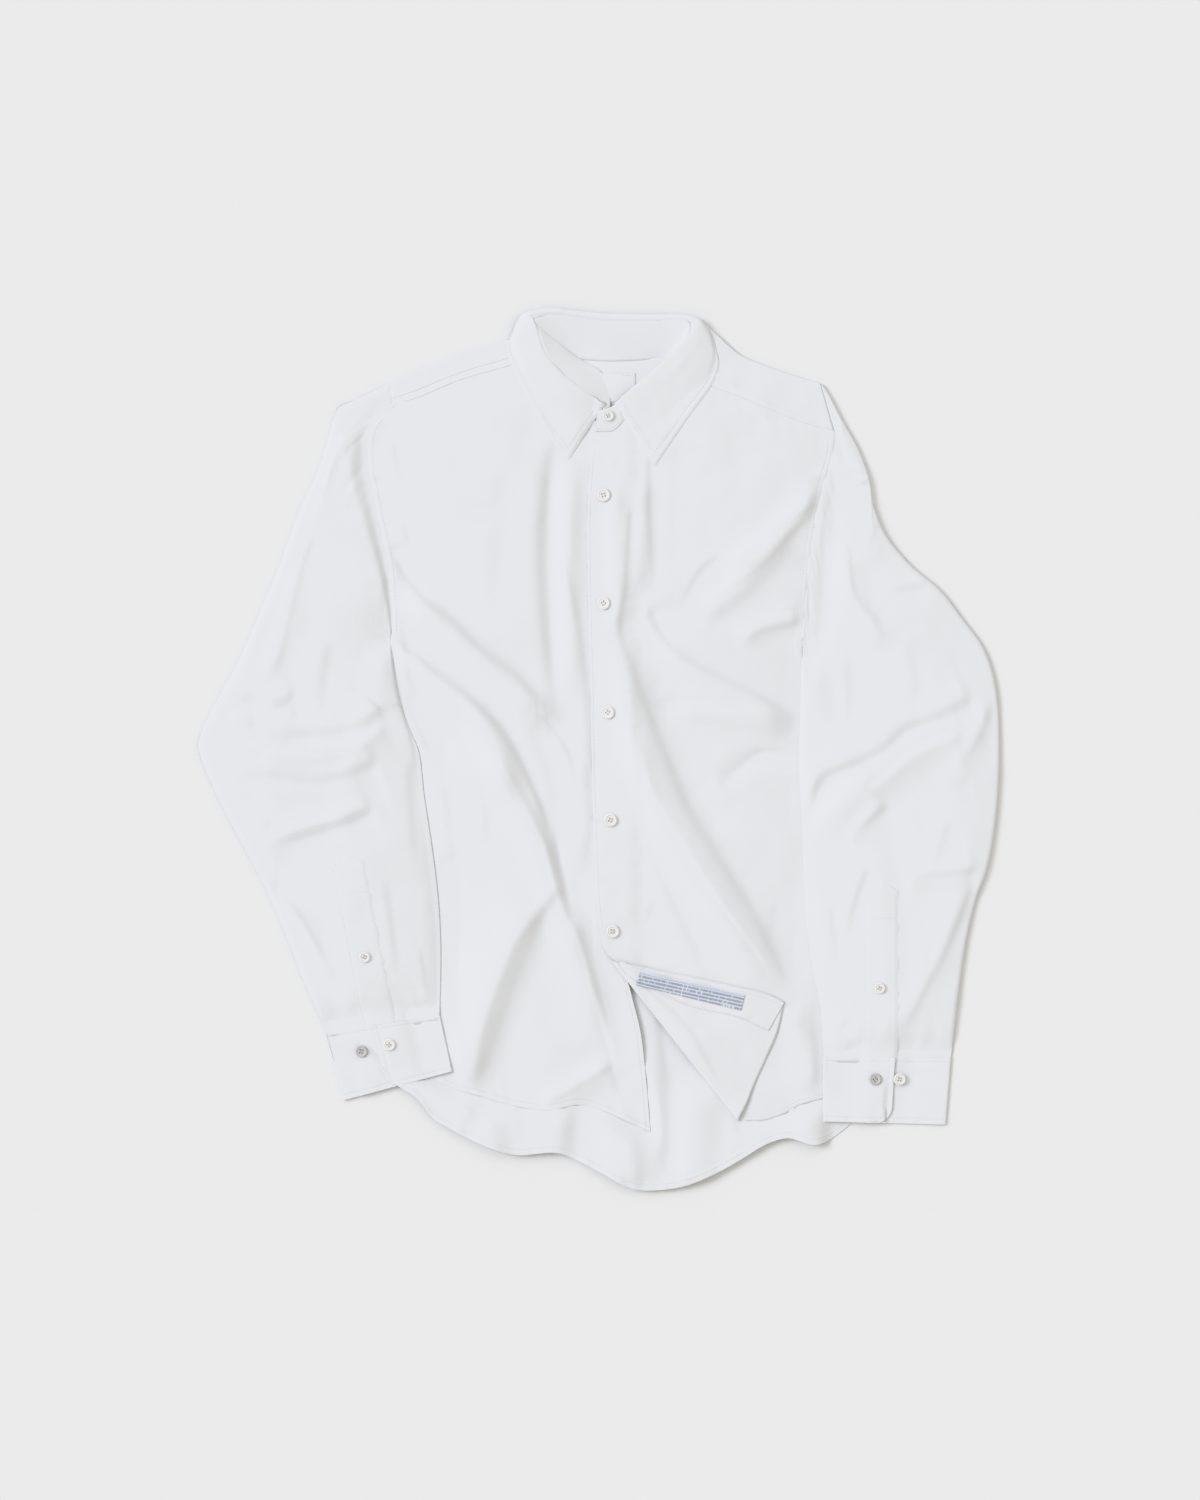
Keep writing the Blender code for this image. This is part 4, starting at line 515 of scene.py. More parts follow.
def nearest_on(xy, line):
    """Index of the nearest point of a line for each XY point, and the step from it."""
    step = xy.reshape(-1, 1, 2) - line[None]
    nearest = np.argmin(step[..., 0] ** 2 + step[..., 1] ** 2, axis=1)
    return nearest, step[np.arange(len(nearest)), nearest]


def beside_course(xy, course, reach, spacing):
    """Where XY points lie beside a smooth course through points given as X, Y, X, Y.

    Returns which of them are within reach of the course's box, and for these the number of the
    nearest of its points, a spacing apart, and the offset from it across the course and along
    it. The number of the last point and the course's length come last.
    """
    course = rounded(np.reshape(course, (-1, 2)))
    near = np.all((xy > course.min(axis=0) - reach) & (xy < course.max(axis=0) + reach), axis=1)
    count = max(int(length_of(course) / spacing), 8)
    course = at(course, np.linspace(0, 1, count + 1))
    ahead = unit(np.gradient(course, axis=0))
    nearest, off = nearest_on(xy[near], course)
    ahead = ahead[nearest]
    across = ahead[:, 0] * off[:, 1] - ahead[:, 1] * off[:, 0]
    along = ahead[:, 0] * off[:, 0] + ahead[:, 1] * off[:, 1]
    return near, nearest, across, along, count, length_of(course)


def fold(xy, *row):
    """One fold: a bell across its crest line, as wide on each side as told, faded at its ends."""
    *crest, height, left, right = row
    widest = max(left, right)
    near, nearest, to_left, along, last, _ = beside_course(xy, crest, 3.2 * widest, 1.5)
    width = right + (left - right) * ease(0.5 + to_left / (2 * min(left, right)))
    place = nearest / last
    ends = ease(place / 0.22) * ease((1.0 - place) / 0.22)
    beyond = np.where((nearest == 0) | (nearest == last), along, 0.0)
    total = np.zeros(len(xy))
    total[near] = height * ends * np.exp(-(to_left / width) ** 2 - (beyond / widest) ** 2)
    return total


def crease(xy, fall, width, high_reach, low_reach, *course):
    """One crease: a short steep flank along a course, with a slow rise back on either side.

    Across the course the height is a hyperbolic tangent times an exponential; along it the
    crease swells in over FLANK_START and dies away over FLANK_END.
    """
    spacing = 1.2
    near, nearest, across, along, last, length = beside_course(
        xy, course, 3.5 * max(high_reach, low_reach), spacing)
    side = np.where(across > 0, low_reach, high_reach)
    walked = (nearest + np.clip(along / spacing, -0.5, 0.5)) / last * length
    ends = ease(walked / FLANK_START) * ease((length - walked) / FLANK_END)
    total = np.zeros(len(xy))
    total[near] = (-0.5 * fall * ends * np.tanh(across / width)
                   * np.exp(-np.hypot(across, along) / side))
    return total


def summed(xy, table, one):
    """Height of all of a table's folds or creases at XY points, each row worked out by `one`."""
    flat = xy.reshape(-1, 2)
    return sum(one(flat, *row) for row in table).reshape(xy.shape[:-1])


def folds(xy, table):
    """Height of a table's folds at XY points."""
    return summed(xy, table, fold)


def creases(xy, table):
    """Height of a table's creases at XY points."""
    return summed(xy, table, crease)


def ridge(off, place, width):
    """1 at a place and 0 well beside it, by a Gaussian bell of about this width to each side."""
    return np.exp(-((off - place) / width) ** 2)


def raised(xy, height):
    """XY points with a height each."""
    return np.concatenate([xy, height[..., None]], axis=-1)


def distance_to(xy, points):
    """Distance from XY points to a curve, positive on the curve's +X side."""
    _, step = nearest_on(xy, rounded(points))
    side = np.where(step[:, 0] < 0, -1.0, 1.0)
    return (side * np.linalg.norm(step, axis=1)).reshape(xy.shape[:-1])


def soft_noise(xy, size, seed):
    """Smooth random heights, about -1 to 1, that change over `size` millimetres."""
    lattice = np.random.default_rng(seed).uniform(-1.0, 1.0, (64, 64))
    cell = xy / size
    low = np.floor(cell).astype(int)
    part = cell - low
    part = part ** 3 * (part * (part * 6 - 15) + 10)
    x, y = low[..., 0] % 64, low[..., 1] % 64
    beside, above = (x + 1) % 64, (y + 1) % 64
    foot = lattice[x, y] * (1 - part[..., 0]) + lattice[beside, y] * part[..., 0]
    head = lattice[x, above] * (1 - part[..., 0]) + lattice[beside, above] * part[..., 0]
    return foot * (1 - part[..., 1]) + head * part[..., 1]


def rumple(xy):
    """Unevenness of washed cotton that no single crease accounts for."""
    return (0.7 * soft_noise(xy, 46.0, 11) + 0.3 * soft_noise(xy, 21.0, 12)
            + 0.08 * soft_noise(xy, 8.0, 13))


def puckers(along, off, size, reach, seed):
    """Ripples that stand across a line of stitching and die away beside it."""
    ripple = soft_noise(np.stack([along, off * 0.35], axis=-1), size, seed)
    return ripple * np.exp(-(off / reach) ** 2)


def unit(vectors):
    """The same directions with a length of 1."""
    return vectors / np.maximum(np.linalg.norm(vectors, axis=-1, keepdims=True), 1e-9)


def arc(points, axis):
    """Distance walked along one axis of a grid of points, from its first point."""
    step = np.linalg.norm(np.diff(points, axis=axis), axis=-1)
    first = np.zeros_like(np.take(step, [0], axis=axis))
    return np.concatenate([first, np.cumsum(step, axis=axis)], axis=axis)


def arc_back(points, axis):
    """Distance left to walk along one axis of a grid of points, to its last point."""
    walked = arc(points, axis)
    return np.take(walked, [-1], axis=axis) - walked


def band(off, width, rise, groove=0.0):
    """Doubled cloth along an edge: raised for its width, with a dip along its stitching."""
    return rise * (1.0 - ease((off - width) / 1.2)) - groove * ridge(off, SEW_IN, 0.8)


# ==== Heights of the middle surfaces
def front_height(xy):
    """Both fronts: low at the seams and under the sleeves, puffed and folded between them."""
    from_right = distance_to(xy, RIGHT_ARMHOLE + RIGHT_SLEEVE_INNER[1:] + RIGHT_CUFF["beside"])
    from_left = -distance_to(xy, LEFT_ARMHOLE + LEFT_SLEEVE_INNER[1:] + LEFT_CUFF["beside"])
    from_sides = np.maximum(np.minimum(from_right, from_left), 0.0)
    from_shoulders = np.minimum(np.abs(distance_to(xy, RIGHT_SHOULDER)),
                                np.abs(distance_to(xy, LEFT_SHOULDER)))
    pit = np.where(xy[..., 0] < 0, PIT_RIGHT, PIT_LEFT)
    edge = SIDE_LEVEL + (ARMHOLE_LEVEL - SIDE_LEVEL) * ease((xy[..., 1] - pit + 70) / 70)
    inside = np.minimum(from_sides, from_shoulders) / PUFF_REACH
    from_hems = np.minimum(np.abs(distance_to(xy, RIGHT_HEM)), np.abs(distance_to(xy, LEFT_HEM)))
    puff = FRONT_PUFF * (1 - (1 - np.clip(inside, 0, 1)) ** 2)
    puff = puff * (HEM_PUFF + (1 - HEM_PUFF) * ease(from_hems / PUFF_REACH))
    relief = FOLD_SHARE * (folds(xy, RIGHT_FRONT_FOLDS) + folds(xy, LEFT_FRONT_FOLDS))
    relief = relief + creases(xy, RIGHT_FRONT_CREASES) + creases(xy, LEFT_FRONT_CREASES)
    inside = ease(from_sides / SEAM_REACH)
    relief = (relief + rumple(xy)) * (SEAM_SHARE + (1 - SEAM_SHARE) * inside)
    return np.maximum(edge + puff + relief, SIDE_LEVEL)


def neck_rise(xy):
    """Rise of the yoke inside the collar, highest at the hollow's middle."""
    away = np.linalg.norm(xy - np.array(NECK_MIDDLE), axis=-1)
    return NECK_RISE * ease(1.0 - away / NECK_SPAN)


def tail_limit(xy):
    """Highest place for the back's wall: below the fronts, and rising beyond their edges."""
    x, y = xy[..., 0], xy[..., 1]
    hem, edge, other = rounded(RIGHT_HEM), rounded(RIGHT_FRONT_EDGE), rounded(LEFT_HEM)
    foot, head = FOLD_FOOT, FOLD_TOP
    right = (x < np.interp(-y, -edge[:, 1], edge[:, 0])) & (y > np.interp(x, hem[:, 0], hem[:, 1]))
    top = np.interp(x, [head[0], foot[0]], [head[1], foot[1]])
    left = (x > head[0]) & (y > np.where(x < foot[0], top, np.interp(x, other[:, 0], other[:, 1])))
    borders = np.vstack([hem, edge[edge[:, 1] < head[1]], at(np.array([head, foot]),
                                                             np.linspace(0, 1, 80)), other])
    beyond = np.sqrt((nearest_on(xy, borders)[1] ** 2).sum(axis=1)).reshape(x.shape)
    return front_height(xy) - TAIL_CLEAR + np.where(right | left, 0.0, TAIL_SLOPE * beyond)


def overlap_lift(xy):
    """Extra height of the left front where it passes over the right front."""
    beyond = distance_to(xy, RIGHT_FRONT_EDGE) - 3.0
    return OVERLAP_LIFT * ease(1.0 - beyond / OVERLAP_RAMP)


def sheet_height(xy):
    """Middle of the left front's wall: the common height, lifted where it overlaps."""
    return front_height(xy) + overlap_lift(xy)


def body_under(xy, side):
    """Top of what a sleeve or cuff lies on: the surface, or below the underarm the body's edge."""
    outside = side["away"] * distance_to(xy, side["armhole"] + side["seam"][1:])
    ramp = ease(1.0 - outside / CLIMB_RAMP)
    climb = ease((side["pit"] - xy[..., 1]) / CLIMB)
    under = np.zeros(xy.shape[:-1])
    body = ramp * climb > 0
    under[body] = (ramp * climb)[body] * (front_height(xy[body]) + CLOTH / 2 + CLIMB_CLEAR)
    return under


RIGHT = {"name": "right", "away": -1.0, "passes": 120, "pit": PIT_RIGHT, "armhole": RIGHT_ARMHOLE,
         "seam": RIGHT_SIDE, "outer": RIGHT_SLEEVE_OUTER, "inner": RIGHT_SLEEVE_INNER,
         "cuff": RIGHT_CUFF, "yoke_end": RIGHT_YOKE_SEAM[0], "placket": RIGHT_PLACKET,
         "folds": RIGHT_SLEEVE_FOLDS, "creases": RIGHT_SLEEVE_CREASES}
LEFT = {"name": "left", "away": 1.0, "passes": 0, "pit": PIT_LEFT, "armhole": LEFT_ARMHOLE,
        "seam": LEFT_SIDE, "outer": LEFT_SLEEVE_OUTER, "inner": LEFT_SLEEVE_INNER,
        "cuff": LEFT_CUFF, "yoke_end": LEFT_YOKE_SEAM[-1], "placket": LEFT_PLACKET,
        "folds": LEFT_SLEEVE_FOLDS, "creases": LEFT_SLEEVE_CREASES}


# ==== Meshes
def grid_quads(rows, columns, wrap=False, keep=None):
    """Quads of a grid, facing up where its rows run towards +X and follow each other down."""
    index = np.arange(rows * columns).reshape(rows, columns)
    if wrap:
        index = np.concatenate([index, index[:, :1]], axis=1)
    quads = np.stack([index[:-1, :-1], index[1:, :-1], index[1:, 1:], index[:-1, 1:]], axis=-1)
    return (quads if keep is None else quads[keep]).reshape(-1, 4)


def normals_of(points, quads):
    """Unit normal at every point, averaged from the quads round it."""
    normal = np.cross(points[quads[:, 2]] - points[quads[:, 0]],
                      points[quads[:, 3]] - points[quads[:, 1]])
    total = np.zeros_like(points)
    for corner in range(4):
        for axis in range(3):
            total[:, axis] += np.bincount(quads[:, corner], normal[:, axis], len(points))
    return unit(total)


def mesh_of(name, points, quads, uv):
    """Mesh in metres with a UV map, from arrays of points and quads."""
    used, quads = np.unique(quads, return_inverse=True)
    quads = quads.reshape(-1, 4)
    points, uv = points[used], uv[used]
    mesh = bpy.data.meshes.new(name)
    mesh.vertices.add(len(points))
    mesh.vertices.foreach_set("co", (points * MM).ravel())
    mesh.loops.add(quads.size)
    mesh.loops.foreach_set("vertex_index", quads.ravel())
    mesh.polygons.add(len(quads))
    mesh.polygons.foreach_set("loop_start", np.arange(0, quads.size, 4))
    mesh.polygons.foreach_set("loop_total", np.full(len(quads), 4))
    layer = mesh.uv_layers.new(name="cloth")
    layer.data.foreach_set("uv", (uv[quads.ravel()] * MM).ravel())
    mesh.update(calc_edges=True)
    mesh.validate()
    mesh.shade_smooth()
    return mesh


def shell_of(name, grid, thickness, wrap=False, keep=None, flip=False):
    """Closed thin shell about a grid of points; returns it, its upper skin and unit normals.

    Its two skins stand half the thickness off the grid along its normals, and a rim closes
    every open edge. The UV map is the distance walked along the rows and the columns.
    """
    rows, columns = grid.shape[:2]
    quads = grid_quads(rows, columns, wrap, keep)
    if flip:
        quads = quads[:, ::-1]
    points = np.nan_to_num(grid).reshape(-1, 3)
    normals = normals_of(points, quads)
    flat = np.nan_to_num(grid)
    uv = np.stack([arc(flat, 1), arc(flat, 0)], axis=-1).reshape(-1, 2)
    half = normals * (np.broadcast_to(thickness, (rows, columns)).reshape(-1, 1) / 2)
    count = len(points)
    edges = np.stack([quads, np.roll(quads, -1, axis=1)], axis=-1).reshape(-1, 2)
    code, back = edges[:, 0] * count + edges[:, 1], edges[:, 1] * count + edges[:, 0]
    rim = edges[~np.isin(back, code)]
    rim = np.column_stack([rim[:, 1], rim[:, 0], rim[:, 0] + count, rim[:, 1] + count])
    shell = np.vstack([quads, quads[:, ::-1] + count, rim])
    mesh = mesh_of(name, np.vstack([points + half, points - half]), shell, np.vstack([uv, uv]))
    return mesh, (points + half).reshape(grid.shape), normals.reshape(grid.shape)


class Pieces:
    """Materials, and each surface built so far (upper points, normals) for trims to rest on."""

    tops = {}
    materials = {}

    @classmethod
    def link(cls, name, mesh, material, slot, node=None):
        """Link a mesh as one piece that rides on the model's only body."""
        piece = bpy.data.objects.new(name, mesh)
        piece.data.materials.append(cls.materials[material])
        bpy.context.scene.collection.objects.link(piece)
        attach(piece, "root")
        if node:
            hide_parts(*([node] if isinstance(node, str) else node))
        return piece

    @classmethod
    def keep(cls, name, top, normals):
        """Remember the upper skin of a finished surface, where it faces up at all."""
        up = normals[..., 2] > 0.25
        cls.tops[name] = top[up], normals[up]


def resting_on(xy, names):
    """Height of the highest of the named surfaces under XY points, and its normal there."""
    flat = xy.reshape(-1, 2)
    height = np.full(len(flat), -1e3)
    normal = np.tile([0.0, 0.0, 1.0], (len(flat), 1))
    low, high = flat.min(axis=0) - 6.0, flat.max(axis=0) + 6.0
    for name in names:
        points, normals = Pieces.tops[name]
        near = np.all((points[:, :2] > low) & (points[:, :2] < high), axis=1)
        if not near.any():
            continue
        points, normals = points[near], normals[near]
        for part in np.array_split(np.arange(len(flat)), len(flat) // 600 + 1):
            step = flat[part, None] - points[None, :, :2]
            nearest = np.argmin(step[..., 0] ** 2 + step[..., 1] ** 2, axis=1)
            away = step[np.arange(len(part)), nearest]
            lean = normals[nearest]
            level = points[nearest, 2] - (away * lean[:, :2]).sum(axis=1) / lean[:, 2]
            level = np.where(np.linalg.norm(away, axis=1) < 5.0, level, -1e3)
            higher = level > height[part]
            height[part[higher]] = level[higher]
            normal[part[higher]] = lean[higher]
    return height.reshape(xy.shape[:-1]), normal.reshape(xy.shape[:-1] + (3,))


def tubes(lines, radii, sides):
    """Closed tubes along many short lines at once: (count, steps, 3) points, (steps,) radii."""
    ahead = unit(np.gradient(lines, axis=1))
    beside = unit(np.cross(ahead, [0.0, 0.0, 1.0]))
    above = np.cross(beside, ahead)
    turn = np.linspace(0, 2 * np.pi, sides, endpoint=False)
    ring = (beside[:, :, None] * np.cos(turn)[:, None] + above[:, :, None] * np.sin(turn)[:, None])
    points = lines[:, :, None] + ring * np.asarray(radii)[:, None, None]
    count, steps = lines.shape[:2]
    quads = grid_quads(steps, sides, wrap=True)
    quads = quads[None] + steps * sides * np.arange(count)[:, None, None]
    return points.reshape(-1, 3), quads.reshape(-1, 4)


def welded(mesh):
    """Join coincident points, so tips and poles are closed."""
    work = bmesh.new()
    work.from_mesh(mesh)
    bmesh.ops.remove_doubles(work, verts=work.verts, dist=0.00001)
    work.to_mesh(mesh)
    work.free()
    mesh.shade_smooth()
    return mesh


def add_stitching(name, lines, slot):
    """One piece of sewing stitches: short tubes a pitch apart along lines of (points, normals)."""
    starts, ends, ups = [], [], []
    for points, normals in lines:
        total = length_of(points)
        count = max(int(total / STITCH_PITCH), 1)
        centre = (np.arange(count) + 0.5) / count
        half = 0.5 * STITCH_LENGTH / total
        starts.append(at(points, centre - half))
        ends.append(at(points, centre + half))
        ups.append(at(points, centre, normals))
    start, end, up = (np.vstack(parts)[:, None] for parts in (starts, ends, ups))
    part = np.array([0.0, 0.14, 0.5, 0.86, 1.0])[:, None]
    swell = np.array([0.15, 0.8, 1.0, 0.8, 0.15]) * STITCH_RADIUS
    sunk = np.array([-0.5, 0.15, 0.45, 0.15, -0.5])[:, None] * STITCH_RADIUS
    points, quads = tubes(start * (1 - part) + end * part + up * sunk, swell, 5)
    Pieces.link(name, welded(mesh_of(name, points, quads, points[:, :2])), "thread", slot)


def add_cloth(name, grid, thickness, node, slot="shirting", **shape):
    """A sheet of cloth as a closed shell; returns it, its upper skin's points and its normals."""
    mesh, top, normals = shell_of(name, grid, thickness, **shape)
    piece = Pieces.link(name, mesh, slot, slot, node)
    Pieces.keep(name, top, normals)
    return piece, top, normals


def row_at(off, distance):
    """Number of the row whose points lie nearest to a distance, from the distance of each."""
    return np.argmin(np.abs(np.median(off.reshape(len(off), -1), axis=1) - distance))


def seam_line(surface, rows, columns=slice(None)):
    """A line for stitches: the same part of a surface's upper points and of its normals."""
    return tuple(part[rows, columns] for part in surface)


# ==== Body
def armhole_start(side):
    """Place along an armhole where the yoke's front seam meets it."""
    armhole = rounded(side["armhole"])
    yoke_end = np.argmin(np.linalg.norm(armhole - np.array(side["yoke_end"]), axis=1))
    return length_of(armhole[:yoke_end + 1]) / length_of(armhole)


def armhole_split(side):
    """The armhole's line above and below the back's seam, with the point where that seam ends."""
    line = rounded(side["armhole"])
    seam_x = np.interp(-YOKE_SEAM_Y, -line[:, 1], line[:, 0])
    above, under = line[line[:, 1] > YOKE_SEAM_Y + 0.5], line[line[:, 1] < YOKE_SEAM_Y - 0.5]
    return above, np.array([seam_x, YOKE_SEAM_Y]), under


def build_back():
    """Back from the yoke seam to the tail: flat on the surface, rippled at its free hem.

    A patch between the yoke seam, both armholes and sides, and the tail hem; its height is one
    level plus the tail's folds and creases, with doubled cloth and puckers at the hem, kept
    below the fronts that cover it.
    """
    sides = []
    for side in (RIGHT, LEFT):
        seam_end, armhole = armhole_split(side)[1:]
        sides.append(np.vstack([seam_end, armhole, rounded(side["seam"])[1:]]))
    hem = rounded(TAIL_HEM)
    over = places_along(hem, 3.2)
    down = places_along(sides[0], 7.0,
                        end=NEAR_EDGE + (7.0, 10, 14, 19) + tuple(range(24, 79, 6)))
    top = at(np.array([sides[0][0], sides[1][0]]), over)
    xy = patch(top, at(hem, over), at(sides[0], down), at(sides[1], down), down, over)
    off, along = arc_back(xy, 0), arc(xy, 1)
    near_hem = ease((TAIL_RISE_RUN - off) / 80.0)
    ripple = folds(xy, TAIL_FOLDS) + creases(xy, TAIL_CREASES) + TAIL_LIFT * near_hem
    edge = band(off, HEM_WIDTH, 0.45, 0.35) + 0.5 * puckers(along, off, 7.0, 14.0, 21)
    z = BACK_FLAT + np.maximum(ripple + edge + 0.7 * rumple(xy) * near_hem, 0.0)
    z = np.maximum(np.minimum(z, tail_limit(xy)), BACK_FLAT)
    z = z + (BACK_FLAT - z) * ease((xy[..., 0] - TAIL_PRESSED) / 14.0)
    back, *surface = add_cloth("back_cloth", raised(xy, z), SHELL, "back")
    add_stitching("back_stitching", [seam_line(surface, row_at(off, SEW_IN))], "shirting")


def build_yoke():
    """Yoke: flat under the shoulders, folded over them to the front seams, cut out at the neck.

    A patch lies flat up to a hinge line, turns over the shoulders on a half circle whose
    radius is half of the front's height there, and runs down to the front seams.
    """
    ends = np.linspace(0.006, 1, 64)
    count = len(ends)
    neck = at(rounded(BACK_NECK), np.linspace(0, 1, 42))[1:-1]
    fold_line = np.vstack([at(rounded(RIGHT_SHOULDER), ends), neck,
                           at(rounded(LEFT_SHOULDER), 1 - ends)[::-1]])
    seam = np.vstack([at(rounded(RIGHT_YOKE_SEAM), ends), neck,
                      at(rounded(LEFT_YOKE_SEAM), 1 - ends[::-1])])
    columns = len(fold_line)
    shoulder = np.ones(columns, bool)
    shoulder[count:-count] = False
    to_seam = unit(seam - fold_line)
    radius = np.where(shoulder, (front_height(fold_line) - BACK_LEVEL) / 2, 0.0)
    hinge = fold_line + to_seam * radius[:, None]

    sides = []
    for side, corner in ((RIGHT, hinge[0]), (LEFT, hinge[-1])):
        armhole, seam_end = armhole_split(side)[:2]
        armhole = armhole[armhole[:, 1] < corner[1] - 1.0]
        sides.append(np.vstack([seam_end, armhole[::-1], corner]))
    down, over = np.linspace(0, 1, 16), np.linspace(0, 1, columns)
    foot = at(np.array([sides[0][0], sides[1][0]]), over)
    flat = patch(foot, hinge, at(sides[0], down), at(sides[1], down), down, over)
    rows = [raised(line, BACK_LEVEL + neck_rise(line)) for line in flat]
    for turn in np.radians(np.arange(-75, 91, 15)):
        xy = hinge - to_seam * (radius * np.cos(turn))[:, None]
        rows.append(raised(xy, BACK_LEVEL + radius * (1 + np.sin(turn))))
    run = np.linalg.norm(seam - hinge, axis=1)
    along = np.cumsum(np.linalg.norm(np.diff(seam, axis=0, prepend=seam[:1]), axis=1))
    near_seam = (7.0, 6.0, 5.4, SEW_IN, 4.6, 4.0, 3.0, 2.0, 1.0, 0.0, -0.8, -1.4)
    for off in ([run * share for share in (0.75, 0.5, 0.3)]
                + [np.minimum(run * 0.25, distance) for distance in near_seam]):
        xy = seam - to_seam * off[:, None]
        z = front_height(xy) + YOKE_OVER * ease((7.0 - off) / 5.0)
        z = z + 0.15 * puckers(along, off, 6.0, 12.0, 31) - 0.12 * ridge(off, SEW_IN, 0.8)
        rows.append(raised(xy, z))
    keep = np.ones((len(rows) - 1, columns - 1), bool)
    keep[len(flat) - 1:] = shoulder[:-1] & shoulder[1:]
    yoke, *surface = add_cloth("yoke_cloth", np.array(rows), SHELL, "yoke", keep=keep, flip=True)
    row = len(rows) - len(near_seam) + near_seam.index(SEW_IN)
    lines = [seam_line(surface, row, part)
             for part in (slice(2, count - 2), slice(columns - count + 2, columns - 2))]
    add_stitching("yoke_stitching", lines, "shirting")


def front_side(side, rows_arm, rows_side):
    """Points down a front's armhole and down its side, as evenly as each part allows."""
    armhole = at(rounded(side["armhole"]), np.linspace(armhole_start(side), 1, rows_arm))
    return np.vstack([armhole, at(rounded(side["seam"]), np.linspace(0, 1, rows_side + 1))[1:]])


def seam_relief(along, off, seed):
    """Beside an armhole: a raised allowance stitched down, a dip at the seam, and puckers."""
    return (band(off, HEM_WIDTH, 0.2, 0.2) - 0.3 * ridge(off, 0.0, 0.8)
            + 0.5 * puckers(along, off, 8.0, 16.0, seed))


def top_relief(along, off, shoulder, seed):
    """Below a front's top edge: sunk under the yoke at the shoulder, and puckers further down."""
    sunk = np.where(shoulder, YOKE_UNDER * ease((5.0 - off) / 2.5), 0.0)
    return 0.4 * puckers(along, off, 6.0, 14.0, seed) * ease((off - 4.0) / 8.0) - sunk


def build_right_front():
    """Button front: it lies under the other one at the middle, and its hem hangs free.

    A patch between the yoke seam and neck, the hem, the armhole with the side, and the front
    edge; its height is the fronts' common one, with seams, a stitched hem and puckers.
    """
    side = front_side(RIGHT, 118, 184)
    seam = rounded(RIGHT_YOKE_SEAM)
    top = np.vstack([seam, rounded(RIGHT_NECK)[1:]])
    hem = rounded(RIGHT_HEM)
    over = places_along(hem, 2.3, start=NEAR_EDGE + (6.8,),
                        end=(0.4, 1.2, 2.2, 3.2, 4.2, 4.8, 5.4, 6.6))
    down = places_along(side, 2.2, end=NEAR_EDGE + (6.8,))
    edge = at(rounded(RIGHT_FRONT_EDGE), down)
    xy = patch(at(top, over), at(hem, over), at(side, down), edge, down, over)
    from_top, from_hem = arc(xy, 0), arc_back(xy, 0)
    along, from_edge = arc(xy, 1), arc_back(xy, 1)
    armhole = xy[..., 1] > PIT_RIGHT - 10
    z = front_height(xy) + np.where(armhole, seam_relief(from_top, along, 41), 0.0)
    z = z + top_relief(along, from_top, over < length_of(seam) / length_of(top), 42)
    z = z + band(from_hem, HEM_WIDTH, 0.4, 0.35) + 0.35 * puckers(along, from_hem, 8.0, 16.0, 43)
    z = z + band(from_edge, 30.0, 0.3) + 0.4 * puckers(from_top, from_edge, 9.0, 12.0, 44)
    front, *surface = add_cloth("right_front_cloth", raised(xy, z), SHELL, "front_right")
    rows = slice(8, np.argmin(np.abs(xy[:, 0, 1] - PIT_RIGHT)))
    low = slice(np.argmin(np.abs(xy[:, -1, 1] + 190)), None)
    lines = [seam_line(surface, row_at(from_hem, SEW_IN)),
             seam_line(surface, rows, row_at(along[rows].T, SEW_IN)),
             seam_line(surface, low, row_at(from_edge[low].T, 4.8))]
    add_stitching("right_front_stitching", lines, "shirting")


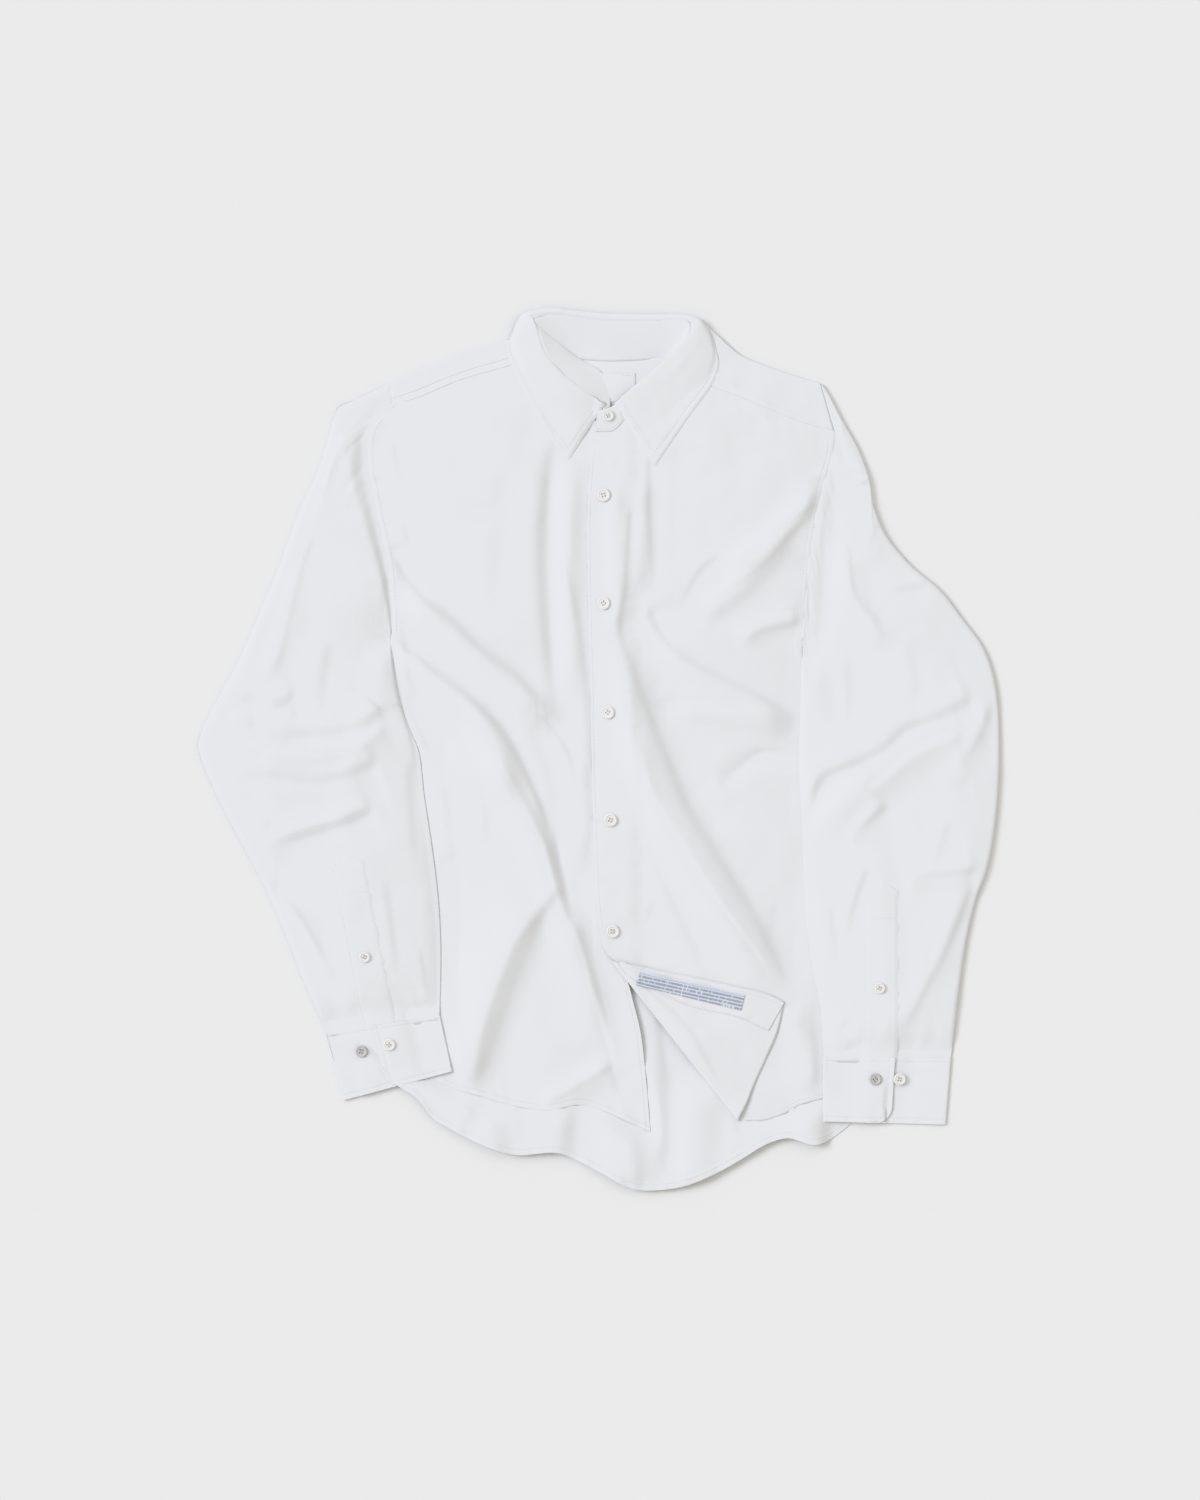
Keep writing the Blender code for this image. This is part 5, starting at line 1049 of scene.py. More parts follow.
def build_left_front():
    """Buttonhole front: one sheet whose lower corner is rolled over a diagonal fold.

    A patch as on the other front, from the front edge and the fold to the side. A second patch
    continues it beyond the fold: there a point's distance from the fold is laid round an arc
    first, and then back over the sheet, so the corner keeps its shape.
    """
    foot, head = np.array(FOLD_FOOT), np.array(FOLD_TOP)
    side = front_side(LEFT, 118, 186)
    rows = len(side)
    fold_row = int(round(rows * 24 / 33))
    near = np.array([0.4, 1.2, 2.0, 2.8, 3.6, 4.6, 6.0])
    neck, seam, hem = rounded(LEFT_NECK), rounded(LEFT_YOKE_SEAM), rounded(LEFT_HEM)
    top = np.vstack([neck, seam[1:]])
    over = places_along(top, 2.2, start=near * 1.35, end=NEAR_EDGE + (6.8,))
    edge = np.vstack([at(rounded(LEFT_FRONT_EDGE), np.linspace(0, 1, fold_row + 1)),
                      at(np.array([head, foot]), np.linspace(0, 1, rows - fold_row))[1:]])
    down = np.linspace(0, 1, rows)
    xy = patch(at(top, over), at(hem, over), edge, side, down, over)
    from_top, from_hem = arc(xy, 0), arc_back(xy, 0)
    along, from_side = arc(xy, 1), arc_back(xy, 1)
    relief = np.where(xy[..., 1] > PIT_LEFT - 10, seam_relief(from_top, from_side, 51), 0.0)
    relief = relief + top_relief(along, from_top, over > length_of(neck) / length_of(top), 52)
    relief = relief + 0.35 * puckers(along, from_hem, 8.0, 16.0, 53)
    fade = ease((fold_row - np.arange(rows)) / 8.0)[:, None]
    relief = relief + fade * (-0.2 * ridge(along, 2.6, 0.7) - 0.3 * (1 - ease(along / 1.6))
                              + 0.4 * puckers(from_top, along, 9.0, 9.0, 54))
    front = raised(xy, sheet_height(xy) + relief)

    inward = unit(np.array([head[1] - foot[1], foot[0] - head[0]]))
    roll = math.pi * FOLD_RADIUS

    def allow_roll(points):
        """A turned edge moved off the fold by the length that goes into the roll."""
        line = rounded(points)
        off = (line - head) @ inward
        return line + inward * (roll * ease(off / FOLD_OPENING))[:, None]

    turned_edge, turned_hem = allow_roll(TURNED_EDGE), allow_roll(TURNED_HEM)
    spread = np.linspace(0, 1, rows - fold_row)
    reach = np.maximum((at(turned_edge, spread) - head) @ inward, 1e-6)
    round_part = np.minimum(roll / reach, 0.6)
    roll_columns, flat_columns = 12, 64
    over_flap = np.concatenate([np.linspace(0, round_part, roll_columns + 1)[:-1],
                                np.linspace(round_part, 1, flat_columns + 1)]).T
    flap = patch(np.broadcast_to(head, over_flap.shape + (2,)), at(turned_hem, over_flap),
                 edge[fold_row:], at(turned_edge, spread), spread, over_flap)
    off = np.maximum((flap - head) @ inward, 0.0)
    angle = np.minimum(off / FOLD_RADIUS, math.pi)
    moved = np.where(off < roll, -FOLD_RADIUS * np.sin(angle), off - roll)
    flap = flap + inward * (moved - off)[..., None]
    rise = (FOLD_RADIUS * (1 - np.cos(angle))
            + FLAP_RISE * ease((off - roll) / FLAP_RISE_RUN))
    lift = creases(flap, FLAP_CREASES) + 0.5 * rumple(flap + 300.0)
    lift = lift * ease((off - roll) / 8)
    flap = raised(flap, sheet_height(flap) + rise + lift)
    flap[:, 0] = front[fold_row:, 0]
    flap[0] = front[fold_row, 0]

    columns = len(over)
    flap_columns = roll_columns + flat_columns
    grid = np.full((rows, flap_columns + columns, 3), np.nan)
    grid[:, flap_columns:] = front
    grid[fold_row:, :flap_columns] = flap[:, :0:-1]
    keep = np.ones((rows - 1, flap_columns + columns - 1), bool)
    keep[:fold_row, :flap_columns] = False
    piece, *surface = add_cloth("left_front_cloth", grid, SHELL, "front_left", keep=keep)
    main = [part[:, flap_columns:] for part in surface]
    high, arm = slice(10, fold_row - 4), slice(8, np.argmin(np.abs(xy[:, -1, 1] - PIT_LEFT)))
    lines = [seam_line(main, high, row_at(along[high].T, 2.6)),
             seam_line(main, arm, row_at(from_side[arm].T, SEW_IN)),
             seam_line(main, row_at(from_hem, SEW_IN), slice(4, None))]
    add_stitching("left_front_stitching", lines, "shirting")
    top, normals = seam_line(surface, slice(fold_row + 2, None), slice(0, flat_columns))
    Pieces.keep("flap", top - SHELL * normals, -normals)


# ==== Sleeves, cuffs and plackets
def cuff_level(cuff, place):
    """Middle of the cuff's uppermost layer across it: its under end, the lap, then its top end."""
    lap = ease((cuff["under_end"] + CUFF_LAP_CLEAR - place) / CUFF_LAP_RAMP)
    top = lap * ease((place - cuff["top_end"] + 0.03) / 0.03)
    return STIFF / 2 + CUFF_LAYER * (1 + top)


def build_sleeve(side):
    """Sleeve: a flat tube of rings from the armhole to the cuff, climbing on to the body's edge.

    Each ring goes along the upper wall and back along the lower one. The upper wall's height
    is the level under it, the tube's depth, a puff, folds and creases; near the edges a
    quarter circle brings both walls together, and near the cuff both run to the cuff's levels.
    """
    cuff = side["cuff"]
    armhole_line = rounded(side["armhole"])
    near = (0.15, 0.6, 1.3, 2.2, 3.4)
    across = places_along(armhole_line, 2.6, start=near, end=near)
    armhole = pushed(at(armhole_line, across), side["away"] * 0.1)
    cuff_seam = np.array([cuff["seam_outer"], cuff["seam_inner"]], float)
    outer, inner = rounded(side["outer"]), rounded(side["inner"])
    outer[0], inner[0] = armhole[0], armhole[-1]
    down = places_along(inner, 2.4, start=(0.4, 1.2, 2.4, 4.0), end=(0.5, 1.5, 3.0, 4.5))
    xy = patch(armhole, at(cuff_seam, across), at(outer, down), at(inner, down), down, across)
    xy = relaxed(xy, side["passes"])
    down, over = np.meshgrid(down, across, indexing="ij")
    width = np.linalg.norm(xy[:, -1] - xy[:, 0], axis=-1)[:, None]
    outer_round = np.clip(over * width / EDGE_ROUND, 0, 1)
    inner_round = np.clip((1 - over) * width / INNER_ROUND, 0, 1)
    rounding = np.sqrt(1 - (1 - outer_round) ** 2) * (1 - (1 - inner_round) ** 2)
    length = np.linalg.norm(np.array(side["inner"][0]) - cuff_seam[1])
    from_start, from_end = down * length, (1 - down) * length
    fade = ease(np.minimum(from_start, from_end) / SEAM_FADE)
    walked, along = arc(xy, 0), arc(xy, 1)
    under = body_under(xy, side)
    edge_depth = SLEEVE_THICK * (1 - over) + SLEEVE_THIN * over
    depth = SLEEVE_DEPTH + (edge_depth - SLEEVE_DEPTH) * ease(from_start / 60.0)
    base = under + SHELL / 2 + 0.05
    closing = base + depth / 2 * (1 - ease(2 * over - 1))
    swollen = ease(np.minimum(from_start / 80.0, from_end / 30.0))
    puff = SLEEVE_PUFF * (1 - (2 * over - 1) ** 2) * swollen
    inside = ease(np.minimum(over, 1 - over) * width / 26.0)
    puff = puff + SLEEVE_FOLD_SHARE * folds(xy, side["folds"]) * inside
    puff = puff + SLEEVE_CREASE_SHARE * creases(xy, side["creases"]) + 0.9 * rumple(xy + 500.0)
    upper = closing + (base + depth - closing) * rounding
    upper = upper + np.maximum(puff * fade, -1.0) * rounding
    upper = upper + rounding * 0.55 * puckers(along, walked, 8.0, 16.0, 61)
    level_with = front_height(xy[:1]) + 0.25 * side["away"] - upper[:1]
    upper = upper + rounding * level_with * (1 - ease(from_start / 34.0))
    end_level = under + cuff_level(cuff, over) - 1.2
    taper = ease(from_end / 16.0)
    gathers = 0.8 * puckers(along, arc_back(xy, 0), 9.0, 26.0, 62) * rounding
    upper = upper * taper + end_level * (1 - taper) + gathers * ease((from_end - 2.0) / 8.0)
    lower = closing + (base - closing) * rounding
    lower = lower * taper + (under + STIFF / 2 + 0.75) * (1 - taper)

    # Both ends run on: tucked under the armhole, and into the cuff
    first = pushed(xy[0], -side["away"] * 2.5)[None]
    last = xy[-1:] + unit(xy[-1:] - xy[-2:-1]) * 5.0
    xy = np.concatenate([first, xy, last])
    upper = np.concatenate([upper[:1] - 0.7 * rounding[:1], upper, upper[-1:]])
    lower = np.concatenate([lower[:1] + 0.4 * rounding[:1], lower, lower[-1:]])
    count = xy.shape[1]
    back = np.unique(np.round(np.concatenate([np.arange(1, 6), np.linspace(6, count - 7, 28),
                                              np.arange(count - 6, count - 1)])).astype(int))[::-1]
    ring = np.concatenate([raised(xy, upper), raised(xy, lower)[:, back]], axis=1)
    sleeve = add_cloth("%s_sleeve_cloth" % side["name"], ring, SHELL, "sleeve_" + side["name"],
                       wrap=True, flip=side["away"] > 0)[0]


def build_cuff(side):
    """Cuff: one stiff band wound once round, its top end lapping over its hidden under end.

    A profile across the sleeve (under end, outer turn, lower layer, inner turn, top end) is
    swept down the cuff's depth, with the top end's corner pulled in on a quarter circle.
    """
    cuff = side["cuff"]
    outer = np.array([cuff["seam_outer"], cuff["edge_outer"]], float)
    inner = np.array([cuff["seam_inner"], cuff["edge_inner"]], float)
    depth = np.linalg.norm(outer[1] - outer[0])
    width = np.linalg.norm(outer[0] - inner[0])
    low, middle, high = (STIFF / 2 + CUFF_LAYER * layer for layer in range(3))
    bend, inset = CUFF_LAYER / 2, CUFF_LAYER / 2 / width
    turns = np.radians(np.arange(15, 180, 15))
    close = np.array([0.0, 0.4, 1.1, 2.0, 3.0, 4.0, 4.6, 5.2, 6.4, 9.0]) / width
    down = np.concatenate([[0, 0.4, 1.2, 2.2, 3.2, 3.8, 4.4, 5.6],
                           np.linspace(7.5, depth - 7.5, 22),
                           depth - np.array([6.0, 5.2, 4.6, 4.0, 3.0, 2.0, 1.2, 0.4, 0.0])])
    down = down / depth
    from_corner = np.maximum(down * depth - (depth - cuff["corner"]), 0.0) / cuff["corner"]
    pulled = cuff["corner"] / width * (1 - np.sqrt(np.maximum(1 - from_corner ** 2, 0.0)))

    def across(end):
        """One section: places across, levels, distances from its top end, shares of relief."""
        begin = cuff["under_end"] - close
        under = np.concatenate([begin, np.linspace(begin[-1], inset, 46)[1:]])
        flat = np.linspace(inset, 1 - inset, 40)
        top = np.linspace(1 - inset, end + close[-1], 48)
        top = np.concatenate([top, end + close[-2::-1]])
        lap = ease((cuff["under_end"] + CUFF_LAP_CLEAR - top) / CUFF_LAP_RAMP)
        sweep, swing = inset * np.sin(turns), bend * np.cos(turns)
        place = np.concatenate([under, inset - sweep, flat, 1 - inset + sweep, top])
        level = np.concatenate([np.full(len(under), middle), low + bend + swing,
                                np.full(len(flat), low), low + bend - swing,
                                middle + (high - middle) * lap])
        off = np.concatenate([np.full(len(place) - len(top), 99.0), (top - end) * width])
        face = np.repeat([1.0, 0.5, 0.0, 0.5, 1.0],
                         [len(under), len(turns), len(flat), len(turns), len(top)])
        return place, level, off, face

    sections = zip(*(across(cuff["top_end"] + pull) for pull in pulled))
    place, level, off, face = (np.array(rows) for rows in sections)
    start = outer[0] + (outer[1] - outer[0]) * down[:, None, None]
    stop = inner[0] + (inner[1] - inner[0]) * down[:, None, None]
    xy = start + (stop - start) * place[..., None]
    from_seam = down[:, None] * depth * np.ones(place.shape[1])
    from_edge = depth - from_seam
    groove = (ridge(from_seam, CUFF_SEW_SEAM, 0.7) + ridge(from_edge, CUFF_SEW_IN, 0.7)
              + ridge(off, CUFF_SEW_IN, 0.7))
    swell = 0.35 * soft_noise(xy, 17.0, 71) + 0.8 * soft_noise(xy, 38.0, 72)
    pucker = (puckers(place * width, from_edge, 6.0, 9.0, 73)
              + puckers(place * width, from_seam, 6.0, 9.0, 74))
    z = level + face * (-0.3 * groove + 0.22 * pucker + swell * ease(off / 9.0))
    z = z + face * creases(xy, CUFF_CREASES) + body_under(xy, side)
    name = "%s_cuff_cloth" % side["name"]
    piece, *surface = add_cloth(name, raised(xy, z), CUFF_SHELL, "cuff_" + side["name"],
                                slot="stiff_shirting", flip=side["away"] < 0)
    first, last = row_at(down * depth, CUFF_SEW_SEAM), row_at((1 - down) * depth, CUFF_SEW_IN)
    top_end, under_end = slice(-56, -6), slice(10, 55)
    lines = [seam_line(surface, row, part)
             for part in (top_end, under_end) for row in (first, last)]
    column = -1 - row_at(close * width, CUFF_SEW_IN)
    lines.append(seam_line(surface, slice(first, last), column))
    add_stitching("%s_cuff_stitching" % side["name"], lines, "stiff_shirting")


def build_placket(side):
    """Pointed strip up the sleeve from under the cuff, with its edges stitched to the sleeve.

    Its height is the sleeve's below it, averaged with its neighbours' six times over, with
    the edges turned down and a dip along the stitching.
    """
    placket = side["placket"]
    foot, head = np.array(placket["foot"], float), np.array(placket["head"], float)
    length = np.linalg.norm(head - foot)
    up = (head - foot) / length
    across = np.array([up[1], -up[0]])
    half, point = placket["width"] / 2, placket["point"]
    rows = np.concatenate([np.linspace(length, length - point, 9),
                           np.linspace(length - point, -PLACKET_TUCK, 76)[1:]])
    spread = half * np.clip((length - rows) / point, 0.02, 1.0)
    columns = np.concatenate([[-1, -0.975, -0.93, -0.885, -0.84], np.linspace(-0.78, 0.78, 19),
                              [0.84, 0.885, 0.93, 0.975, 1]])
    xy = (foot + up * rows[:, None])[:, None] + across * (spread[:, None, None]
                                                         * columns[None, :, None])
    over = resting_on(xy, ["%s_sleeve_cloth" % side["name"]])[0]
    off = (1 - np.abs(columns)) * spread[:, None]
    box = length - point - 26.0
    groove = ridge(off, 2.2, 0.6) + ridge(rows[:, None], box, 0.7)
    for _ in range(6):
        over[1:-1] = (over[:-2] + 2 * over[1:-1] + over[2:]) / 4
        over[:, 1:-1] = (over[:, :-2] + 2 * over[:, 1:-1] + over[:, 2:]) / 4
    z = over - 0.35 + 0.45 * ease(off / 3.0) - 0.22 * groove
    z = z + 0.15 * puckers(rows[:, None] + 0 * off, off, 6.0, 6.0, 81)
    name = "%s_placket_cloth" % side["name"]
    piece, *surface = add_cloth(name, raised(xy, z), SHELL, "sleeve_placket_" + side["name"])
    lines = [seam_line(surface, slice(3, None), column) for column in (3, len(columns) - 4)]
    lines.append(seam_line(surface, row_at(rows, box), slice(2, -2)))
    add_stitching("%s_placket_stitching" % side["name"], lines, "shirting")


# ==== Collar
def section_curves(table, columns):
    """Each X, Y, Z triple of a section table as a smooth line round the neck, evenly sampled."""
    lines = [rounded(line) for line in np.reshape(table, (len(table), -1, 3)).swapaxes(0, 1)]
    places = np.linspace(0, 1, len(lines[0]))
    return [np.column_stack([np.interp(columns, places, axis) for axis in line.T])
            for line in lines]


def build_collar():
    """Stand: a band round the neck. Leaf: from a rounded roll over the stand down to its edge.

    The stand is ruled between its foot and top curves, and kept clear of the fronts where it
    crosses them. Each section of the leaf is a smooth curve through its lip, roll, middle and
    edge, lifted clear of the fronts, and pressed down on them from its middle to its edge.
    """
    columns = np.concatenate([[0, 0.0015, 0.004, 0.007, 0.010], np.linspace(0.014, 0.986, 230),
                              [0.990, 0.993, 0.996, 0.9985, 1]])
    foot, top = section_curves(STAND_SECTIONS, columns)
    foot[:, 2] = (np.maximum(foot[:, 2] * COLLAR_FLAT, 0.5)
                  + neck_rise(foot[:, :2]) * ease((foot[:, 1] - 292.0) / 20.0))
    top[:, 2] *= COLLAR_FLAT
    rows = np.linspace(0, 1, 16)[:, None, None]
    grid = top * (1 - rows) + foot * rows
    walked = np.stack([arc(grid, 1), arc(grid, 0)], -1)
    grid[..., 2] += 0.35 * soft_noise(walked, 14.0, 91)
    xy = grid[..., :2]
    floor = np.where(columns < 0.5, front_height(xy) + 0.9, sheet_height(xy) + 1.3)
    floor = floor - 1.2 * rows[:, :, 0] ** 2
    in_front = ease((316.0 - xy[..., 1]) / 10.0)
    at_ends = ease((308.0 - xy[..., 1]) / 8.0)
    lift = floor - grid[..., 2]
    grid[..., 2] += in_front * np.maximum(lift, 0.0) + at_ends * np.minimum(lift, 0.0)
    stand, *surface = add_cloth("collar_stand_cloth", grid, CUFF_SHELL, "collar_stand",
                                slot="stiff_shirting", flip=True)
    lines = [seam_line(surface, 13)]

    roll, bulge, edge = section_curves(LEAF_SECTIONS, columns)
    over_body = ease((edge[:, 2] - 2.0) / 4.0)
    for line in (roll, bulge, edge):
        line[:, 2] *= COLLAR_FLAT
    inner = at(top, np.linspace(0, 1, 900))
    lip = inner[nearest_on(roll[:, :2], inner[:, :2])[0]] - [0.0, 0.0, 0.35]
    inward = lip[:, :2] - roll[:, :2]
    roll[:, 2] = np.minimum(roll[:, 2], lip[:, 2] + 0.8)
    lip[:, :2] += 0.8 * unit(inward)
    grid = np.stack([at(rounded(section), LEAF_PLACES)
                     for section in zip(lip, roll, bulge, edge)], axis=1)
    xy = grid[..., :2]
    off, from_ends = arc_back(grid, 0), np.minimum(arc(grid, 1), arc_back(grid, 1))
    over_left = ease((distance_to(xy, LEFT_FRONT_EDGE) + 6.0) / 6.0)
    body = front_height(xy) + overlap_lift(xy) * over_left
    seated = np.maximum(body + SHELL / 2 + 0.55 - grid[..., 2], 0.0)
    place = np.linspace(0, 1, len(xy))[:, None]
    clear = (1.2 + 6.8 * ease(from_ends / 25.0)) * (1 - ease((place - 0.25) / 0.5))
    z = grid[..., 2] + over_body * seated
    z = z + over_body * np.minimum(body + SHELL / 2 + 0.6 + clear - z, 0.0)
    near_edge = np.minimum(off, from_ends)
    z = z - over_body * (0.2 * ridge(near_edge, SEW_IN, 0.8)
                         + 0.6 * (1 - ease(near_edge / 2.5))
                         + 0.5 * (1 - ease(from_ends / 4.0)))
    waves = 0.5 * soft_noise(xy, 24.0, 92) + 0.15 * soft_noise(xy, 9.0, 93)
    z = z + waves * ease(off / 8)
    z = z + creases(xy, LEAF_CREASES)
    leaf, *surface = add_cloth("collar_leaf_cloth", raised(xy, z), LEAF_SHELL, "collar_leaf",
                               slot="stiff_shirting", flip=True)
    row, first = row_at(off, SEW_IN), row_at(columns, 0.016)
    lines.append(seam_line(surface, row, slice(first, -first)))
    for column in (first, len(columns) - 1 - first):
        lines.append(seam_line(surface, slice(4, row), column))
    add_stitching("collar_stitching", lines, "stiff_shirting")


# ==== Facing, labels and buttons
def strip_grid(line_a, line_b, rows, columns, carriers, lift):
    """Grid of points between two lines, resting on the surfaces below it."""
    down = rows[:, None, None]
    xy = (1 - down) * at(line_a, columns) + down * at(line_b, columns)
    return raised(xy, resting_on(xy, carriers)[0] + lift)


def edge_places(length, step, near=(0.4, 1.1, 2.0, 3.0, 4.0)):
    """Places 0 to 1 over a length, closer at both ends."""
    return places_along(np.array([[0.0, 0.0], [length, 0.0]]), step, start=near, end=near)


def build_trims():
    """Facing and care label on the turned corner, and the label inside the neck.

    Each is a strip ruled between two lines, at the height of what it lies on plus half of its
    own wall, with a dip along its stitching or a gentle wave.
    """
    top = rounded(TURNED_EDGE)[13:] + [0, -1.2]
    rows = edge_places(24.0, 1.4)
    grid = strip_grid(top, rounded(FACING_INNER), rows, edge_places(length_of(top), 2.0),
                      ["flap"], 0.5)
    xy = grid[..., :2]
    along, off, from_inner = arc(xy, 1), arc(xy, 0), arc_back(xy, 0)
    grid[..., 2] += (-0.35 * ridge(from_inner, 1.6, 0.6) - 0.3 * ridge(off, 3.0, 0.6)
                     + 0.35 * puckers(along, from_inner, 6.0, 8.0, 101))
    facing, *surface = add_cloth("facing_cloth", grid, SHELL, "front_facing")
    lines = [seam_line(surface, row_at(from_inner, 1.6)), seam_line(surface, row_at(off, 3.0))]
    add_stitching("facing_stitching", lines, "shirting")

    corners = np.array(CARE_LABEL, float)
    rows = edge_places(14.0, 0.7, (0.3, 0.8, 1.4))
    columns = edge_places(length_of(corners[:2]), 1.5)
    grid = strip_grid(corners[:2], corners[:1:-1], rows, columns, ["facing_cloth", "flap"], 0.5)
    grid[..., 2] += 0.3 * soft_noise(grid[..., :2], 20.0, 102)
    label = add_cloth("care_label_tape", grid, CARE_TAPE, "care_label", slot="care_tape")[0]

    corners = np.array(NECK_LABEL, float)
    rows, columns = edge_places(26.0, 1.5), edge_places(41.0, 1.5)
    grid = strip_grid(corners[:2], corners[:1:-1], rows, columns, ["yoke_cloth"], 0.45)
    label, *surface = add_cloth("neck_label_tape", grid, NECK_TAPE, "neck_label", slot="neck_tape")
    row = row_at(rows * 26.0, 2.0)
    lines = [(points + 0.05 * normals, normals) for points, normals in
             (seam_line(surface, row, part) for part in (slice(2, 12), slice(-12, -2)))]
    add_stitching("neck_label_stitching", lines, "neck_tape")


def button_surface(radius, thick):
    """Heights of a button's face over polar rings: a rim, a dish and four thread holes.

    The face rises to a rounded rim at 0.8 of the radius and falls into a dish; each hole is a
    pit with steep walls round its own centre.
    """
    rings = np.concatenate([np.linspace(0, 0.62, 30), np.linspace(0.65, 1.0, 14)])
    turn = np.linspace(0, 2 * np.pi, 56, endpoint=False)
    reach = rings[:, None] * radius * np.ones(len(turn))
    x, y = reach * np.cos(turn), reach * np.sin(turn)
    rim = ridge(rings, 0.80, 0.11)
    fall = np.sqrt(np.maximum(1 - (np.clip(rings - 0.86, 0, 1) / 0.14) ** 2, 0))
    face = (thick * (0.70 + 0.30 * rim) * np.clip(fall, 0.45, 1))[:, None] * np.ones(len(turn))
    centre = radius * BUTTON_HOLE_OFF
    for sign_x, sign_y in ((-1, -1), (-1, 1), (1, -1), (1, 1)):
        off = np.hypot(x - sign_x * centre, y - sign_y * centre) / (radius * BUTTON_HOLE)
        face = face - thick * 0.55 * ease((1.25 - off) / 0.35)
    return np.stack([x, y, face], axis=-1)


def add_button(node, place, diameter, carrier, slot, turn):
    """A dished four-hole button with rounded edges, seated square to the cloth and sewn on.

    It stands on the highest of the points felt under it, on the mean normal of their outer
    ones. Its threads are two pairs of tubes that cross the dish from hole to hole.
    """
    radius, thick = diameter / 2, BUTTON_THICK
    top = button_surface(radius, thick)
    rings, count = top.shape[:2]
    under = [row * [share, share, 0] + [0, 0, level]
             for row, share, level in ((top[-1], 0.96, 0.25 * thick), (top[-1], 0.86, 0.0),
                                       (top[0], 1.0, 0.0))]
    grid = np.concatenate([top, under]).reshape(-1, 3)
    around = np.linspace(0, 2 * np.pi, 24, endpoint=False)
    circle = radius * np.column_stack([np.cos(around), np.sin(around)])
    feel = np.array(place) + np.concatenate([circle * share for share in (0.02, 0.6, 1)])
    level, lean = resting_on(feel, [carrier])
    normal = unit(lean[len(circle):].mean(axis=0) * [0.9, 0.9, 1.0])
    centre = np.array([*place, 0.0])
    plane = (feel - centre[:2]) @ normal[:2] / -normal[2]
    centre[2] = (level - plane).max() + 0.15
    side = unit(np.cross([0.0, 1.0, 0.0], normal))
    axes = np.array([side, np.cross(normal, side), normal])
    spin = np.array([[math.cos(turn), math.sin(turn), 0], [-math.sin(turn), math.cos(turn), 0],
                     [0, 0, 1]])
    quads = grid_quads(rings + 3, count, wrap=True)
    mesh = welded(mesh_of(node + "_shell", grid @ spin @ axes + centre, quads, grid[:, :2]))
    mesh.set_sharp_from_angle(angle=math.radians(60))
    Pieces.link(node + "_shell", mesh, slot, slot, node)
    hole = radius * BUTTON_HOLE_OFF
    part = np.linspace(-1, 1, 9)
    rise = thick * (0.62 + 0.30 * np.sqrt(1 - part ** 8)) - 0.5 * thick * (np.abs(part) == 1)
    lines = [np.column_stack([part * hole, np.full(9, sign * hole + shift), rise])
             for sign in (-1, 1) for shift in (-0.16, 0.16)]
    swell = np.array([0.0, 1, 1, 1, 1, 1, 1, 1, 0.0]) * 0.17
    points, quads = tubes(np.array(lines), swell, 6)
    mesh = welded(mesh_of(node + "_thread", points @ spin @ axes + centre, quads, points[:, :2]))
    Pieces.link(node + "_thread", mesh, "thread", slot)


def build_buttons():
    """Every button: five down the front, one at the collar, three on each sleeve."""
    for number, place in enumerate(FRONT_BUTTONS, 1):
        add_button("front_button_%d" % number, place, FRONT_BUTTON, "left_front_cloth",
                   "pearl_button", 0.3 * number)
    add_button("collar_button", COLLAR_BUTTON_PLACE, SMALL_BUTTON, "collar_stand_cloth",
               "pearl_button", 0.4)
    for name, cuff_places, placket_place in (("right", RIGHT_CUFF_BUTTONS, RIGHT_PLACKET_BUTTON),
                                             ("left", LEFT_CUFF_BUTTONS, LEFT_PLACKET_BUTTON)):
        for number, place in enumerate(cuff_places, 1):
            grey = (name == "right") == (number == 2)
            add_button("cuff_button_%s_%d" % (name, number), place, CUFF_BUTTON,
                       name + "_cuff_cloth", "grey_button" if grey else "pearl_button",
                       0.7 * number)
        add_button("placket_button_" + name, placket_place, SMALL_BUTTON,
                   name + "_placket_cloth", "pearl_button", 1.1)


# ==== Materials
def new_material(name):
    """A node material, kept under its name; returns its tree and shader."""
    material = bpy.data.materials.new(name)
    material.use_nodes = True
    Pieces.materials[name] = material
    return material.node_tree, material.node_tree.nodes["Principled BSDF"]


def feed(tree, target, inputs):
    """Set a node's inputs, each a constant or another node's output."""
    for key, value in dict(inputs).items():
        if isinstance(value, bpy.types.NodeSocket):
            tree.links.new(value, target.inputs[key])
        else:
            target.inputs[key].default_value = value


def node(tree, kind, inputs=(), output=0, **settings):
    """Output of a new node with these settings and inputs."""
    made = tree.nodes.new(kind)
    for key, value in settings.items():
        setattr(made, key, value)
    feed(tree, made, inputs)
    return made.outputs[output]


def maths(tree, operation, *values):
    """Output of a math node."""
    return node(tree, "ShaderNodeMath", enumerate(values), operation=operation)


def blend(tree, factor, low, high):
    """Output of a node that mixes two colours."""
    return node(tree, "ShaderNodeMix", {"Factor": factor, 6: low, 7: high}, 2, data_type="RGBA")


def woven(tree, coordinate, pitch):
    """Height of a plain weave with threads a pitch apart: the product of two crossed waves."""
    wave = {"Vector": coordinate, "Scale": 1.0 / pitch * 0.05, "Distortion": 0.6, "Detail": 1.0,
            "Detail Scale": 2.0}
    return maths(tree, "MULTIPLY", *[
        node(tree, "ShaderNodeTexWave", wave, "Fac", wave_type="BANDS", bands_direction=direction,
             wave_profile="SIN") for direction in ("X", "Y")])


